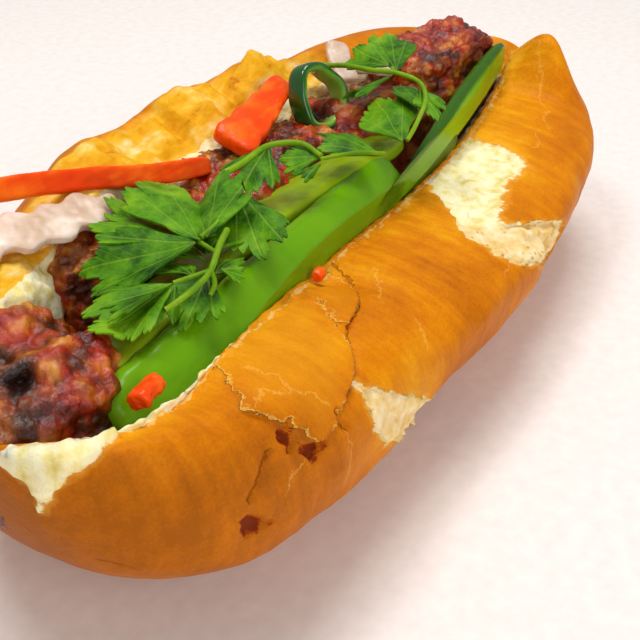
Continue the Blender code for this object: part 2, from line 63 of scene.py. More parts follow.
ARC_UNDER = 55.0

# Outlines on the near wall as (place along the roll, distance down from the rim).
BIG_TEAR = [(24, -3), (24, 1), (20.5, 2.8), (16, 6.2), (13, 8.2), (8.5, 11), (8, 14.5), (7.5, 19), (11, 25),
            (27, 38), (38, 37.5), (45, 36.5), (37, 28), (28.5, 21), (21.5, 16.2), (20.5, 13.8), (29, 12.2),
            (37, 10.7), (42.3, 11.2), (48.5, 12.2), (50.5, 9.2), (53.2, 6.5), (51.8, 3.0), (55, -3)]
TEAR_BAND = [(12.5, 8.5), (15.5, 12.4), (17, 14.6), (21, 16.6), (28.1, 21.3), (45, 36.5), (38, 38),
             (27, 38.5), (9, 26), (6, 19), (6.5, 14), (7, 11)]
SMALL_TEAR = [(-51, 17.4), (-48, 21.0), (-43, 26), (-35, 32.4), (-23.9, 43), (-30, 44), (-36, 42), (-42, 40),
              (-47.6, 36.5), (-51.8, 29.5), (-52.5, 24.5)]
LIFTED_PLATE = [(-67, -3), (-34, -3), (-34.4, 1.9), (-37.6, 3.9), (-40.2, 6.2), (-42.9, 8.9), (-43.9, 10.9),
                (-47.1, 14.3), (-51.6, 17.2), (-54.2, 19.0), (-57.6, 18.8), (-59.6, 20.4), (-62.8, 21.7),
                (-65.5, 22.8), (-67.0, 22.0), (-68.6, 20.5), (-68.2, 18.6), (-70.4, 16.7), (-69.2, 15.1),
                (-71.8, 15.7), (-72.4, 13.6), (-73.9, 12.0), (-75.5, 10.1), (-73.4, 7.4), (-72.2, 4.7),
                (-70.2, 2.9)]
LOBE = [(-35, -3), (-23, -3), (-22.6, 2.3), (-24.2, 4.6), (-27.4, 6.9), (-30.8, 8.4), (-35.0, 9.2),
        (-39.6, 9.2), (-40.6, 7.2), (-39.4, 5.2), (-36.8, 3.6)]
HOLLOWS = [
    [(-72.8, 16.7), (-71.2, 16.2), (-69.1, 18.6), (-69.7, 20.6), (-71.6, 22.1), (-73.0, 21.2),
     (-72.2, 20.2), (-73.2, 18.6)],
    [(-69.9, 20.9), (-67.6, 22.1), (-65.2, 22.6), (-63.3, 21.3), (-64.6, 23.6), (-67.2, 24.3),
     (-69.2, 27.0), (-69.6, 24.0), (-70.6, 22.6)],
    [(-84.7, 31.9), (-83.9, 29.6), (-82.4, 29.2), (-81.0, 30.0), (-80.0, 31.7), (-78.4, 31.9),
     (-80.9, 33.1), (-83.3, 34.0)],
]
# Torn patch on the near left end, as (place across, height).
END_TEAR = [(-15.5, 49.0), (-18.5, 53.5), (-24.0, 54.5), (-28.5, 53.0), (-27.9, 50.2), (-26.4, 48.4),
            (-24.9, 47.4), (-23.4, 45.6), (-22.4, 43.2), (-21.0, 40.6), (-20.6, 43.4), (-19.2, 45.8),
            (-17.6, 47.0)]
# Cracks, grooved and painted dark as shadow, then fine pale scratches, on the near wall as the outlines are.
CRACKS = [
    [(-19.5, 0.5), (-22.6, 3.9), (-25.8, 6.4), (-29.5, 8.0), (-35.0, 9.2), (-38.6, 9.8), (-41.8, 11.4),
     (-44.6, 13.4), (-47.3, 15.6), (-51.4, 17.8), (-55.2, 19.0)],
    [(-76.3, 19.6), (-78.0, 21.3), (-79.1, 22.9), (-81.8, 26.2)],
    [(-58.4, 43.0), (-61.5, 42.6), (-64.0, 44.0), (-66.5, 45.6)],
    [(-99.6, 52.0), (-98.5, 49.5), (-97.0, 48.0)],
    [(-59.9, 19.4), (-60.4, 21.6), (-59.4, 23.4)],
]
PALE_LINES = [
    [(-25.5, 16.7), (-27.6, 20.5), (-29.2, 23.6)],
    [(-17.6, 5.0), (-21.4, 7.8), (-24.4, 8.8), (-26.6, 10.1)],
    [(-59.2, 24.0), (-59.7, 28.3), (-61.3, 34.4)],
    [(92.2, 4.2), (90.6, 5.8), (88.4, 6.0), (86.6, 7.4), (83.9, 7.6)],
    [(83.9, 7.6), (79.5, 8.2), (76.4, 10.4), (71.0, 9.8), (67.4, 11.6)],
    [(62.5, 9.5), (58.6, 11.8), (56.8, 10.6)],
    [(-66.5, 4.0), (-64.6, 8.0), (-65.6, 11.4), (-62.0, 13.4), (-61.0, 17.0)],
    [(-73.4, 10.0), (-69.8, 8.6), (-67.4, 10.6)],
    [(-71.0, 24.5), (-74.0, 25.6), (-75.4, 28.0)],
    [(-40.6, 7.6), (-37.6, 5.6), (-38.2, 3.2)],
    [(15.0, 24.0), (9.0, 21.5), (4.0, 22.8)],
    [(30.0, 9.0), (40.0, 8.0), (47.0, 9.4)],
]


def bump(value, centre, spread):
    """Smooth hump of height one: exp of minus the squared distance over the spread."""
    return np.exp(-((value - centre) / spread) ** 2)


def ease(value):
    """Smooth step from zero to one: 3v squared minus 2v cubed, held outside 0 to 1."""
    value = np.clip(value, 0.0, 1.0)
    return value * value * (3.0 - 2.0 * value)


def lattice(cell, seed):
    """One random number from -1 to 1 for each whole cell, mixed from its three indices."""
    mixed = cell[..., 0] * 73856093 ^ cell[..., 1] * 19349663 ^ cell[..., 2] * 83492791 ^ seed * 668265263
    mixed = (mixed ^ (mixed >> 13)) * 1274126177 & 0xFFFFFFFF
    return ((mixed ^ (mixed >> 15)) & 0xFFFF) / 32767.5 - 1.0


def roughness_at(points, size, seed, octaves=1):
    """Value noise: random numbers on a grid of the given size, blended smoothly, with halved finer layers."""
    total = np.zeros(points.shape[:-1])
    for layer in range(octaves):
        place = points / size * 2.0 ** layer
        cell = np.floor(place).astype(np.int64)
        part = place - cell
        part = part * part * (3.0 - 2.0 * part)
        for corner in range(8):
            step = np.array([corner & 1, corner >> 1 & 1, corner >> 2 & 1])
            share = np.prod(np.where(step, part, 1.0 - part), axis=-1)
            total = total + share * lattice(cell + step, seed + layer) * 0.5 ** layer
    return total


def pebbles_at(points, size, seed):
    """Distance to the nearest of one random point in each cell, as a share of the cell size."""
    place = points / size
    cell = np.floor(place).astype(np.int64)
    nearest = np.full(points.shape[:-1], 9.0)
    for corner in range(27):
        there = cell + np.array([corner % 3, corner // 3 % 3, corner // 9]) - 1
        spot = there + 0.5 + 0.42 * np.stack([lattice(there, seed + k) for k in range(3)], -1)
        nearest = np.minimum(nearest, np.linalg.norm(place - spot, axis=-1))
    return nearest


def inside_outline(a, b, outline):
    """Signed distance from (a, b) to a closed outline, positive inside: nearest side, sign by crossings."""
    corners = np.asarray(outline, float)
    nearest = np.full(a.shape, 1e9)
    inside = np.zeros(a.shape, bool)
    for (p, q), (r, s) in zip(corners, np.roll(corners, -1, 0)):
        along = np.clip(((a - p) * (r - p) + (b - q) * (s - q)) / ((r - p) ** 2 + (s - q) ** 2), 0, 1)
        nearest = np.minimum(nearest, np.hypot(a - p - along * (r - p), b - q - along * (s - q)))
        crosses = (q > b) != (s > b)
        inside ^= crosses & (a < (r - p) * (b - q) / (s - q + 1e-12) + p)
    return np.where(inside, nearest, -nearest)


def from_line(a, b, line):
    """Distance from (a, b) to an open line of straight pieces, signed by the side it lies on."""
    corners = np.asarray(line, float)
    nearest = np.full(a.shape, 1e9)
    side = np.ones(a.shape)
    for (p, q), (r, s) in zip(corners[:-1], corners[1:]):
        along = np.clip(((a - p) * (r - p) + (b - q) * (s - q)) / ((r - p) ** 2 + (s - q) ** 2), 0, 1)
        reach = np.hypot(a - p - along * (r - p), b - q - along * (s - q))
        turn = np.where((r - p) * (b - q) - (s - q) * (a - p) < 0, -1.0, 1.0)
        side = np.where(reach < nearest, turn, side)
        nearest = np.minimum(nearest, reach)
    return nearest * side


def nearest_line(a, b, lines):
    """Of the signed distances from (a, b) to several lines, the one that is least in size."""
    away = np.stack([from_line(a, b, line) for line in lines])
    pick = np.abs(away).argmin(0)[None]
    return np.take_along_axis(away, pick, 0)[0]


def rim_heights(u):
    """Near rim y and z and far crown y and z: low powers of the place along the roll, with a few humps."""
    x = u * HALF_LENGTH
    rim_y = -18.0 + 0.8 * u - 0.2 * u * u + 17.7 * u ** 3
    rim_z = 36.2 - 5.7 * u + 12.1 * u * u - 1.7 * u ** 3
    crown_y = 32.7 - 1.4 * u - 9.5 * u * u
    crown_z = 53.8 + 1.4 * u - 2.5 * u * u - 3.5 * bump(x, -62.0, 15.0)
    crown_z = crown_z + 2.6 * bump(x, -31.0, 9.0) + 2.0 * bump(x, 0.0, 9.0) + 0.7 * bump(x, 27.0, 6.0)
    crown_z = crown_z - 2.3 * bump(x, 43.0, 9.0) + 1.7 * bump(x, 76.0, 12.0)
    return rim_y, rim_z, crown_y, crown_z


def crust_section(u, t):
    """Crust in section from four quarter superellipses: near rim at t 0, bottom at 2, far crown at 4."""
    rim_y, rim_z, crown_y, crown_z = rim_heights(u)
    near = WALL_NEAR + 2.6 * u + 2.6 * u * u + 3.0 * bump(u, 0.08, 0.28)
    far = WALL_FAR + 0.5 * u
    a, b, c, d = (np.clip(t - k, 0.0, 1.0) * math.pi / 2 for k in range(4))
    sine = [np.sin(v) ** 0.909 for v in (a, b, c, d)]
    cosine = [np.abs(np.cos(v)) ** 0.909 for v in (a, b, c, d)]
    y = np.where(t <= 1, -near + (near + rim_y) * (1 - sine[0]), -near * cosine[1])
    y = np.where(t > 2, far * sine[2], y)
    y = np.where(t > 3, far - (far - crown_y) * (1 - cosine[3]), y)
    z = np.where(t <= 1, WIDEST_NEAR + (rim_z - WIDEST_NEAR) * cosine[0], WIDEST_NEAR * (1 - sine[1]))
    z = np.where(t > 2, WIDEST_FAR * (1 - cosine[2]), z)
    z = np.where(t > 3, WIDEST_FAR + (crown_z - WIDEST_FAR) * sine[3], z)
    return y, z


def taper(u):
    """Share of width and height left toward the rounded ends, and the height of the end points."""
    power = np.where(u < 0, 3.65, 2.44)
    wide = np.maximum(1 - np.abs(u) ** power, 0) ** (1 / 2.1)
    high = np.maximum(1 - np.abs(u) ** (1.2 * power), 0) ** (1 / 2.2)
    return wide, high, np.where(u < 0, TIP_LEFT_Z, TIP_RIGHT_Z)


def spline_rows(knots, spots):
    """Catmull-Rom curves through the knots of each row at once; knots are (row, knot, axis)."""
    wide = np.concatenate([2 * knots[:, :1] - knots[:, 1:2], knots, 2 * knots[:, -1:] - knots[:, -2:-1]], 1)
    low = np.clip(np.floor(spots).astype(int), 0, knots.shape[1] - 2)
    f = (spots - low)[None, :, None]
    a, b, c, d = (wide[:, low + k] for k in range(4))
    return 0.5 * (2 * b + (c - a) * f + (2 * a - 5 * b + 4 * c - d) * f ** 2 + (3 * b - a - 3 * c + d) * f ** 3)


def outward(points):
    """Unit normals of a grid closed in its second direction: cross product of its central differences."""
    along = np.gradient(points, axis=0)
    around = (np.roll(points, -1, 1) - np.roll(points, 1, 1)) / 2
    normal = np.cross(along, around)
    return normal / np.maximum(np.linalg.norm(normal, axis=-1, keepdims=True), 1e-9)


def finish_mesh(name, points, faces, marks=None):
    """Put points in millimetres and faces into a smooth mesh object with one number field for each mark."""
    mesh = bpy.data.meshes.new(name)
    mesh.from_pydata((points * 0.001).tolist(), [], faces)
    mesh.polygons.foreach_set("use_smooth", np.ones(len(mesh.polygons), bool))
    for mark, values in (marks or {}).items():
        field = mesh.attributes.new(mark, "FLOAT", "POINT")
        field.data.foreach_set("value", np.ascontiguousarray(values, dtype=np.float32).ravel())
    mesh.update()
    made = bpy.data.objects.new(name, mesh)
    bpy.context.scene.collection.objects.link(made)
    return made


def tube_faces(rows, ring):
    """Faces of a tube: four corners between neighbouring rings, and a fan from the first and the last point."""
    i, j = np.meshgrid(np.arange(rows - 1), np.arange(ring), indexing="ij")
    a, b = 1 + i * ring + j, 1 + i * ring + (j + 1) % ring
    faces = np.stack([a, b, b + ring, a + ring], -1).reshape(-1, 4).tolist()
    j = np.arange(ring)
    end = 1 + rows * ring
    faces += np.stack([0 * j, 1 + (j + 1) % ring, 1 + j], -1).tolist()
    faces += np.stack([0 * j + end, end - ring + j, end - ring + (j + 1) % ring], -1).tolist()
    return faces


def closed_tube(name, rings, first, last, marks=None):
    """Join rings of points into a tube shut by a point at each end; marks are fields on the same grid."""
    rows, ring = rings.shape[:2]
    points = np.concatenate([[first], rings.reshape(-1, 3), [last]])
    full = {}
    for mark, values in (marks or {}).items():
        values = np.broadcast_to(values, (rows, ring))
        full[mark] = np.concatenate([[values[0].mean()], values.ravel(), [values[-1].mean()]])
    return finish_mesh(name, points, tube_faces(rows, ring), full)


def linear(code):
    """sRGB hex to linear light: the standard curve on each of the three channels."""
    channels = [int(code[k:k + 2], 16) / 255 for k in (1, 3, 5)]
    return tuple(c / 12.92 if c <= 0.04045 else ((c + 0.055) / 1.055) ** 2.4 for c in channels) + (1.0,)


def add(tree, kind, links=None, stops=None, out=0, **settings):
    """Add one shader node and return one of its outputs.

    Links holds an output, a number or a hex colour for each input, and stops the hex colours of a ramp.
    A map range takes its value and its two ranges as inputs 0 to 4.
    """
    node = tree.nodes.new("ShaderNode" + kind)
    for name, value in settings.items():
        setattr(node, name, value)
    for name, value in (links or {}).items():
        if isinstance(value, bpy.types.NodeSocket):
            tree.links.new(value, node.inputs[name])
        else:
            node.inputs[name].default_value = linear(value) if isinstance(value, str) else value
    if stops:
        ramp = node.color_ramp.elements
        while len(ramp) < len(stops):
            ramp.new(1.0)
        for element, (place, colour) in zip(ramp, stops):
            element.position = place
            element.color = linear(colour)
    return node.outputs[out]


def new_material(name, **sockets):
    """A material with its principled shader and the values that are the same all over."""
    made = bpy.data.materials.new(name)
    made.use_nodes = True
    shader = made.node_tree.nodes["Principled BSDF"]
    for socket, value in sockets.items():
        shader.inputs[socket.replace("_", " ")].default_value = value
    return made, made.node_tree, shader


# Height of the middle of the section, and the distance that a mark holds where no edge is near, in mm.
MIDDLE_Z = 27.0
FAR = 9.0


def make_bread():
    """The roll as one closed grid: crust section swept along the roll, hollow and lips closing each ring.

    Round a ring, t runs from the near rim at 0 to the far crown at 4, then through the slit to 14, the
    near rim again. Tears, plates and cracks move the crust along the ray from the middle of the section.
    """
    theta = np.linspace(-1, 1, 414)[1:-1]
    u = (0.62 * theta + 0.38 * np.sin(theta * math.pi / 2))[:, None]
    t = np.concatenate([np.linspace(0, 1.0, 84)[:-1], np.linspace(1.0, 1.35, 36)[:-1],
                        np.linspace(1.35, 3.2, 32)[:-1], np.linspace(3.2, 4.0, 32)])[None]
    x = u * HALF_LENGTH
    y, z = crust_section(u, t)
    s = ARC_NEAR * np.clip(t, 0, 1) + ARC_UNDER * np.clip(t - 1, 0, 1)
    near_side = ease((1.9 - t) / 0.2)
    a, b = np.broadcast_arrays(x, s)
    flat = np.stack([a, b, 0 * a], -1)
    wobble = 0.55 * roughness_at(flat, 1.7, 5, 2)
    tear = np.maximum(inside_outline(a, b, BIG_TEAR), inside_outline(a, b, SMALL_TEAR)) + wobble
    small = inside_outline(a, b, SMALL_TEAR)
    band = np.maximum(inside_outline(a, b, TEAR_BAND), small + 2.0)
    plate = inside_outline(a, b, LIFTED_PLATE) + 0.3 * wobble
    lobe = inside_outline(a, b, LOBE) + 0.3 * wobble
    hollow = np.maximum.reduce([inside_outline(a, b, one) for one in HOLLOWS]) + 0.6 * wobble
    crack, pale = (nearest_line(a, b, lines) for lines in (CRACKS, PALE_LINES))
    sunk = 2.6 * ease(tear / 1.2 + 0.3) + 1.2 * ease((tear - 2.0) / 5.0)
    sunk = sunk - 2.2 * ease((band - 0.5) / 3.0) * (tear > 0)
    sunk = sunk + 1.4 * ease(hollow / 0.8 + 0.3)
    sunk = sunk - 1.25 * ease(plate / 0.35 + 0.5) * (0.4 + 0.6 * ease((b - 1.0) / 8.0))
    sunk = sunk - 1.0 * ease(lobe / 0.35 + 0.5) * (0.3 + 0.7 * ease((b - 2.0) / 6.0))
    sunk = sunk + 0.9 * ease(1.8 - np.abs(crack) / 0.6)
    sunk = sunk - 1.3 * bump(np.abs(from_line(a, b, [(26, -1), (23.5, 3), (19.5, 7), (16.5, 9.5)])), 0.0, 1.3)
    sunk = sunk + 0.35 * np.sin(a * 0.19 + b * 0.11) * np.sin(b * 0.17 - a * 0.05)
    sunk = sunk + 0.30 * roughness_at(flat, 9.0, 21, 2) + 0.10 * roughness_at(flat * [1, 0.5, 1], 2.2, 23, 2)
    sunk = sunk - 1.0 * bump(a, -43.0, 6.0) * bump(b, 42.0, 10.0)
    sunk = sunk * near_side + 0.5 * roughness_at(np.stack([a, y, z], -1), 14.0, 31, 3) * (1 - near_side)
    reach = np.hypot(y, z - MIDDLE_Z)
    y, z = y - sunk * y / reach, z - sunk * (z - MIDDLE_Z) / reach

    rim_y, rim_z, crown_y, crown_z = rim_heights(u)
    torn = bump(x, 5.0, 42.0)
    lip = LIP - 0.8 * ease((-52.0 - x) / 8.0) + 0.3 * np.sin(x * 0.9) * np.sin(x * 0.37)
    across_slit = [crown_y, crown_y - 7.0 - 4.0 * torn, crown_y - 9.5 - 4.0 * torn, 30.0, 19.0, 0.0, -18.0,
                   CRUMB_WALL + 1 - WALL_NEAR, rim_y + lip + 1.0, rim_y + lip, rim_y]
    up_slit = [crown_z, crown_z - 1.5 - 6.0 * torn, crown_z - 12, 27.0, CAVITY_FLOOR + 1.5, CAVITY_FLOOR,
               CAVITY_FLOOR + 1, 26.0, rim_z - 7, rim_z - 0.8, rim_z]
    knots_y, knots_z = (np.concatenate([one + 0 * u for one in side], 1) for side in (across_slit, up_slit))
    step = np.linspace(0, 1, 11)[None]
    lid_y = crown_y + (rim_y - crown_y) * step
    lid_z = crown_z + (rim_z - crown_z) * step + 5.0 * np.sin(step * math.pi)
    slit_end = np.where(u < 0, 1.04, 0.95)
    open_share = ease((slit_end - np.abs(u)) / 0.17)
    knots = np.stack([lid_y + (knots_y - lid_y) * open_share, lid_z + (knots_z - lid_z) * open_share], -1)
    spots = np.concatenate([np.linspace(0, 2, 30)[1:], np.linspace(2, 8, 16)[1:], np.linspace(8, 10, 17)[1:-1]])
    inner = spline_rows(knots, spots)
    y = np.concatenate([y, inner[..., 0]], 1)
    z = np.concatenate([z, inner[..., 1]], 1)

    wide, high, tip = taper(u)
    y = BEND * u * u + y * wide
    z = tip + (z - tip) * high
    x = np.broadcast_to(x, y.shape).copy()
    t_all = np.concatenate([t[0], 4.0 + spots])[None]
    z = z + FLAP_HEIGHT * bump(x, FLAP_X, np.where(x < FLAP_X, 6.5, 7.0)) * bump(t_all, 0.26, 0.26)
    dip = 2.8 * bump(x, -25.0, 4.5) + 3.0 * ease((-66.0 - x) / 14.0)
    z = z - dip * (bump(t_all, 0.0, 0.2) + bump(t_all, 14.0, 1.0)) * wide
    rings = np.stack([x, y, z], -1)

    count = t.shape[1]
    skin = np.where(t_all[:, count:] < 5.0, (t_all[:, count:] - 4.0) * 11.0 - 10.2, 3.0)
    lip_skin = (14.0 - t_all[:, count:]) * lip - 1.9 + 2.6 * ease((-62.0 - x[:, count:]) / 6.0)
    skin = np.where(t_all[:, count:] > 13.0, lip_skin, skin)
    past_slit = ease((np.abs(u) - slit_end + 0.13) / 0.05)
    skin = skin * (1 - past_slit) - 3.0 * past_slit
    crumb = np.concatenate([np.where(near_side > 0.5, tear, -FAR), skin], 1)
    end_tear = inside_outline(rings[..., 1], rings[..., 2], END_TEAR) + 0.5 * roughness_at(rings, 1.6, 8, 2)
    end_tear = np.where((x < -93.0) & (t_all < 2.0), end_tear, -FAR)
    crumb = np.maximum(crumb, end_tear)
    ragged = 0.6 * roughness_at(rings, 1.7, 77, 2) + 0.5 * roughness_at(rings, 6.0, 78)
    crumb = crumb + bump(t_all, 14.0, 0.8) * ragged
    across = np.concatenate([(t - 4.0) * 26.0, 5.2 * spots[None]], 1) + 0 * x
    flaky = ease((x + 100.0) / 25.0) * ease((51.0 - x) / 6.0)
    flaky = flaky * ease((across + 5.0) / 4.0) * ease((17.0 - across) / 4.0)

    normal = outward(rings)
    fluff = roughness_at(rings, 3.6, 41, 3)
    pores = np.clip(0.45 - pebbles_at(rings, 2.2, 51), 0, 1)
    soft = ease(crumb / 1.0) * (1 - 0.75 * np.concatenate([ease(small + 1.0), 0 * inner[..., 0]], 1))
    lift = soft * (0.7 * fluff - 0.6 * pores)
    lift = lift - 1.7 * ease(end_tear / 1.5 + 0.2)
    folds = np.stack([x * 0.3, across, 0 * x], -1)
    lift = lift + flaky * (1.9 * roughness_at(folds, 4.2, 61, 2) + 0.6 * roughness_at(rings, 2.6, 63, 3))
    rim_band = bump(t_all, 0.0, 0.05) + bump(t_all, 14.0, 0.35)
    lift = lift + rim_band * (0.6 * roughness_at(rings, 1.6, 71, 2) + 0.4 * roughness_at(rings, 4.0, 73))
    fade = np.clip(wide * 3.0, 0, 1)
    rings = rings + normal * (lift * fade)[..., None]
    line = np.stack([x, 0 * x, 0 * x], -1)
    jag = 0.7 * roughness_at(line, 2.6, 81, 3) + 0.5 * np.sin(x * 0.33 + 0.6) + 0.6 * np.sin(x * 0.81)
    jag = jag + 2.8 * ease((33.6 - x) / 1.2) * ease((x - 12.0) / 16.0) - 1.8 * bump(x, -8.0, 1.2)
    jag = jag - 2.2 * bump(x, 40.0, 6.0)
    jag = jag * bump(across, 1.0, 4.5) * ease((x + 40.0) / 10.0) * ease((50.0 - x) / 8.0)
    tip_jag = bump(x, FLAP_X, 8.0) * bump(t_all, 0.1, 0.25) * (0.9 * roughness_at(line, 2.2, 83, 3))
    rings[..., 2] = np.maximum(rings[..., 2] + jag + tip_jag - BASE_CUT, 0.0)
    full = lambda values, rest: np.concatenate([values, np.full((len(u), len(spots)), rest)], 1)
    marks = {"crumb": crumb, "plate": full(np.maximum(plate, lobe), -FAR), "hollow": full(hollow, -FAR),
             "crack": full(crack, FAR), "crack_far": full(np.abs(crack), FAR), "flaky": flaky,
             "pale": full(pale, FAR), "pale_far": full(np.abs(pale), FAR),
             "band": full(band, -FAR), "small": full(small, -FAR), "across": across,
             "from_rim": np.concatenate([s, (10.0 - spots[None]) * 6.0], 1) + 0 * x}
    return closed_tube("roll", rings, [-HALF_LENGTH, BEND, TIP_LEFT_Z - BASE_CUT],
                       [HALF_LENGTH, BEND, TIP_RIGHT_Z - BASE_CUT], marks)


def bread_material():
    """Baked wheat crust over open crumb: satin golden skin, browner low down as painted shade, matt cream where
    torn.
    """
    made, tree, shader = new_material("baked_crust_and_crumb", IOR=1.45, Specular_IOR_Level=0.06,
                                      Subsurface_Scale=0.003, Subsurface_Radius=(1.0, 0.7, 0.4))
    where = add(tree, "TexCoord", out="Object")
    crumb, plate, hollow, crack, crack_far, pale, pale_far, flaky, band, small, across, from_rim = (
        add(tree, "Attribute", out="Fac", attribute_name=name)
        for name in ("crumb", "plate", "hollow", "crack", "crack_far", "pale", "pale_far", "flaky", "band",
                     "small", "across", "from_rim"))
    # Baking blotches 25 mm across, mottling 4 mm across, streaks down the wall and grain under 1 mm.
    blotch = add(tree, "TexNoise", {"Vector": where, "Scale": 34.0, "Detail": 4.0, "Roughness": 0.5})
    mottle = add(tree, "TexNoise", {"Vector": where, "Scale": 260.0, "Detail": 4.0, "Roughness": 0.6})
    stretched = add(tree, "Mapping", {"Vector": where, "Scale": (1.0, 0.14, 0.14)})
    streak = add(tree, "TexNoise", {"Vector": stretched, "Scale": 380.0, "Detail": 4.0, "Roughness": 0.6})
    speck = add(tree, "TexNoise", {"Vector": where, "Scale": 1700.0, "Detail": 2.0, "Roughness": 0.7})
    length = add(tree, "SeparateXYZ", {0: where}, out="X")
    # Painted shade: darker toward the near left end, which is turned from the light, and paler by the rim and
    # browner lower down as the light falls off down the wall. Paler toward the far tip.
    left = add(tree, "MapRange", {0: length, 1: -0.10, 2: -0.05, 3: -0.14, 4: 0.02})
    right = add(tree, "MapRange", {0: length, 1: 0.05, 2: 0.09, 4: 0.14})
    golden = add(tree, "MapRange", {0: from_rim, 1: 1.0, 2: 17.0, 3: 0.15, 4: -0.17})
    tone = add(tree, "Math", {0: left, 1: -0.775})
    for part, share in ((right, 1.0), (golden, 1.0), (blotch, 1.3), (mottle, 0.38), (streak, 0.56),
                        (speck, 0.34)):
        tone = add(tree, "Math", {0: part, 1: share, 2: tone}, operation="MULTIPLY_ADD")
    skin = add(tree, "ValToRGB", {"Fac": tone}, stops=[
        (0.06, "#A65A0A"), (0.26, "#BE6808"), (0.48, "#D27A06"), (0.66, "#DE8E08"),
        (0.84, "#EBA216"), (1.0, "#F6BC38")])
    # The edge of a lifted plate breaks unevenly: pale on top, partly the broken crust and partly a painted
    # highlight, with a painted shadow line under it here and there.
    fray = add(tree, "TexNoise", {"Vector": where, "Scale": 620.0, "Detail": 3.0, "Roughness": 0.6})
    fray = add(tree, "Math", {0: fray, 1: 0.5}, operation="SUBTRACT")
    rough_plate = add(tree, "Math", {0: fray, 1: 3.0, 2: plate}, operation="MULTIPLY_ADD")
    raised = add(tree, "MapRange", {0: rough_plate, 1: -0.08, 2: 0.08})
    beside = add(tree, "Math", {0: 1.0, 1: raised}, operation="SUBTRACT")
    top = add(tree, "MapRange", {0: rough_plate, 1: 0.0, 2: 0.5, 3: 0.9, 4: 0.0})
    top = add(tree, "Math", {0: top, 1: raised}, operation="MULTIPLY")
    under = add(tree, "MapRange", {0: rough_plate, 1: -0.5, 2: -0.05})
    deep = add(tree, "MapRange", {0: blotch, 1: 0.42, 2: 0.60, 3: 0.1, 4: 0.6})
    under = add(tree, "Math", {0: under, 1: deep}, operation="MULTIPLY")
    under = add(tree, "Math", {0: under, 1: beside}, operation="MULTIPLY")
    fair = add(tree, "MapRange", {0: rough_plate, 1: -0.1, 2: 6.0, 3: 0.0, 4: 0.4})
    for share, shade in ((fair, "#DC921A"), (top, "#F8C65C"), (under, "#84400A")):
        skin = add(tree, "Mix", {0: share, 6: skin, 7: shade}, out=2, data_type="RGBA")
    flaw = add(tree, "Math", {0: fray, 1: 4.0, 2: pale}, operation="MULTIPLY_ADD")
    flaw = add(tree, "Math", {0: flaw}, operation="ABSOLUTE")
    away = add(tree, "Math", {0: pale_far, 1: 0.8}, operation="SUBTRACT")
    flaw = add(tree, "Math", {0: flaw, 1: away}, operation="MAXIMUM")
    flaw = add(tree, "MapRange", {0: flaw, 1: 0.05, 2: 0.32, 3: 0.3, 4: 0.0})
    skin = add(tree, "Mix", {0: flaw, 6: skin, 7: "#F8C45C"}, out=2, data_type="RGBA")
    # The cut rim shows a thread of pale crumb where the skin ends.
    thread = add(tree, "Math", {0: fray, 1: 3.0, 2: from_rim}, operation="MULTIPLY_ADD")
    thread = add(tree, "MapRange", {0: thread, 1: 0.0, 2: 0.35, 3: 0.5, 4: 0.0})
    skin = add(tree, "Mix", {0: thread, 6: skin, 7: "#F4D488"}, out=2, data_type="RGBA")
    # Torn far edge: thin flaky skin in lengthwise folds, yellow with brown streaks, cream where it ends.
    lengthwise = add(tree, "Mapping", {"Vector": where, "Scale": (0.35, 1.0, 1.0)})
    patch = add(tree, "TexNoise", {"Vector": lengthwise, "Scale": 210.0, "Detail": 5.0, "Roughness": 0.6})
    low = add(tree, "MapRange", {0: across, 1: 3.0, 2: 12.0, 4: 0.34})
    patch = add(tree, "Math", {0: patch, 1: low}, operation="ADD")
    patch = add(tree, "Math", {0: fray, 1: 0.22, 2: patch}, operation="MULTIPLY_ADD")
    flake = add(tree, "ValToRGB", {"Fac": patch}, stops=[
        (0.27, "#B4680A"), (0.36, "#DC9812"), (0.50, "#E9AE22"), (0.60, "#EFC256"),
        (0.72, "#F4DCAC")])
    skin = add(tree, "Mix", {0: flaky, 6: skin, 7: flake}, out=2, data_type="RGBA")
    # Crumb: white, with painted shade of darker yellow in its dips; the stretched band of a tear is tan with
    # small pits painted dark as shade.
    pore = add(tree, "TexNoise", {"Vector": where, "Scale": 330.0, "Detail": 4.0, "Roughness": 0.5})
    soft = add(tree, "ValToRGB", {"Fac": pore}, stops=[
        (0.26, "#D8C262"), (0.40, "#EBDA92"), (0.52, "#F5E8B6"), (0.75, "#FAF1D0")])
    pit = add(tree, "TexVoronoi", {"Vector": where, "Scale": 480.0})
    pit = add(tree, "MapRange", {0: pit, 1: 0.10, 2: 0.26, 3: 0.75, 4: 0.0})
    rough = add(tree, "MapRange", {0: small, 1: -1.5, 2: 0.5, 3: 1.0, 4: 0.15})
    pit = add(tree, "Math", {0: pit, 1: rough}, operation="MULTIPLY")
    stretch = add(tree, "ValToRGB", {"Fac": pore}, stops=[
        (0.32, "#DDB468"), (0.48, "#EBCB8C"), (0.68, "#F4E0B4")])
    stretch = add(tree, "Mix", {0: pit, 6: stretch, 7: "#B88846"}, out=2, data_type="RGBA")
    in_band = add(tree, "MapRange", {0: band, 1: 0.0, 2: 1.2})
    soft = add(tree, "Mix", {0: in_band, 6: soft, 7: stretch}, out=2, data_type="RGBA")
    frayed = add(tree, "Math", {0: fray, 1: 1.5, 2: crumb}, operation="MULTIPLY_ADD")
    bare = add(tree, "MapRange", {0: frayed, 1: -0.1, 2: 0.2})
    scorched = add(tree, "MapRange", {0: frayed, 1: -1.0, 2: -0.1, 4: 0.4})
    colour = add(tree, "Mix", {0: scorched, 6: skin, 7: "#F4B440"}, out=2, data_type="RGBA")
    colour = add(tree, "Mix", {0: bare, 6: colour, 7: soft}, out=2, data_type="RGBA")
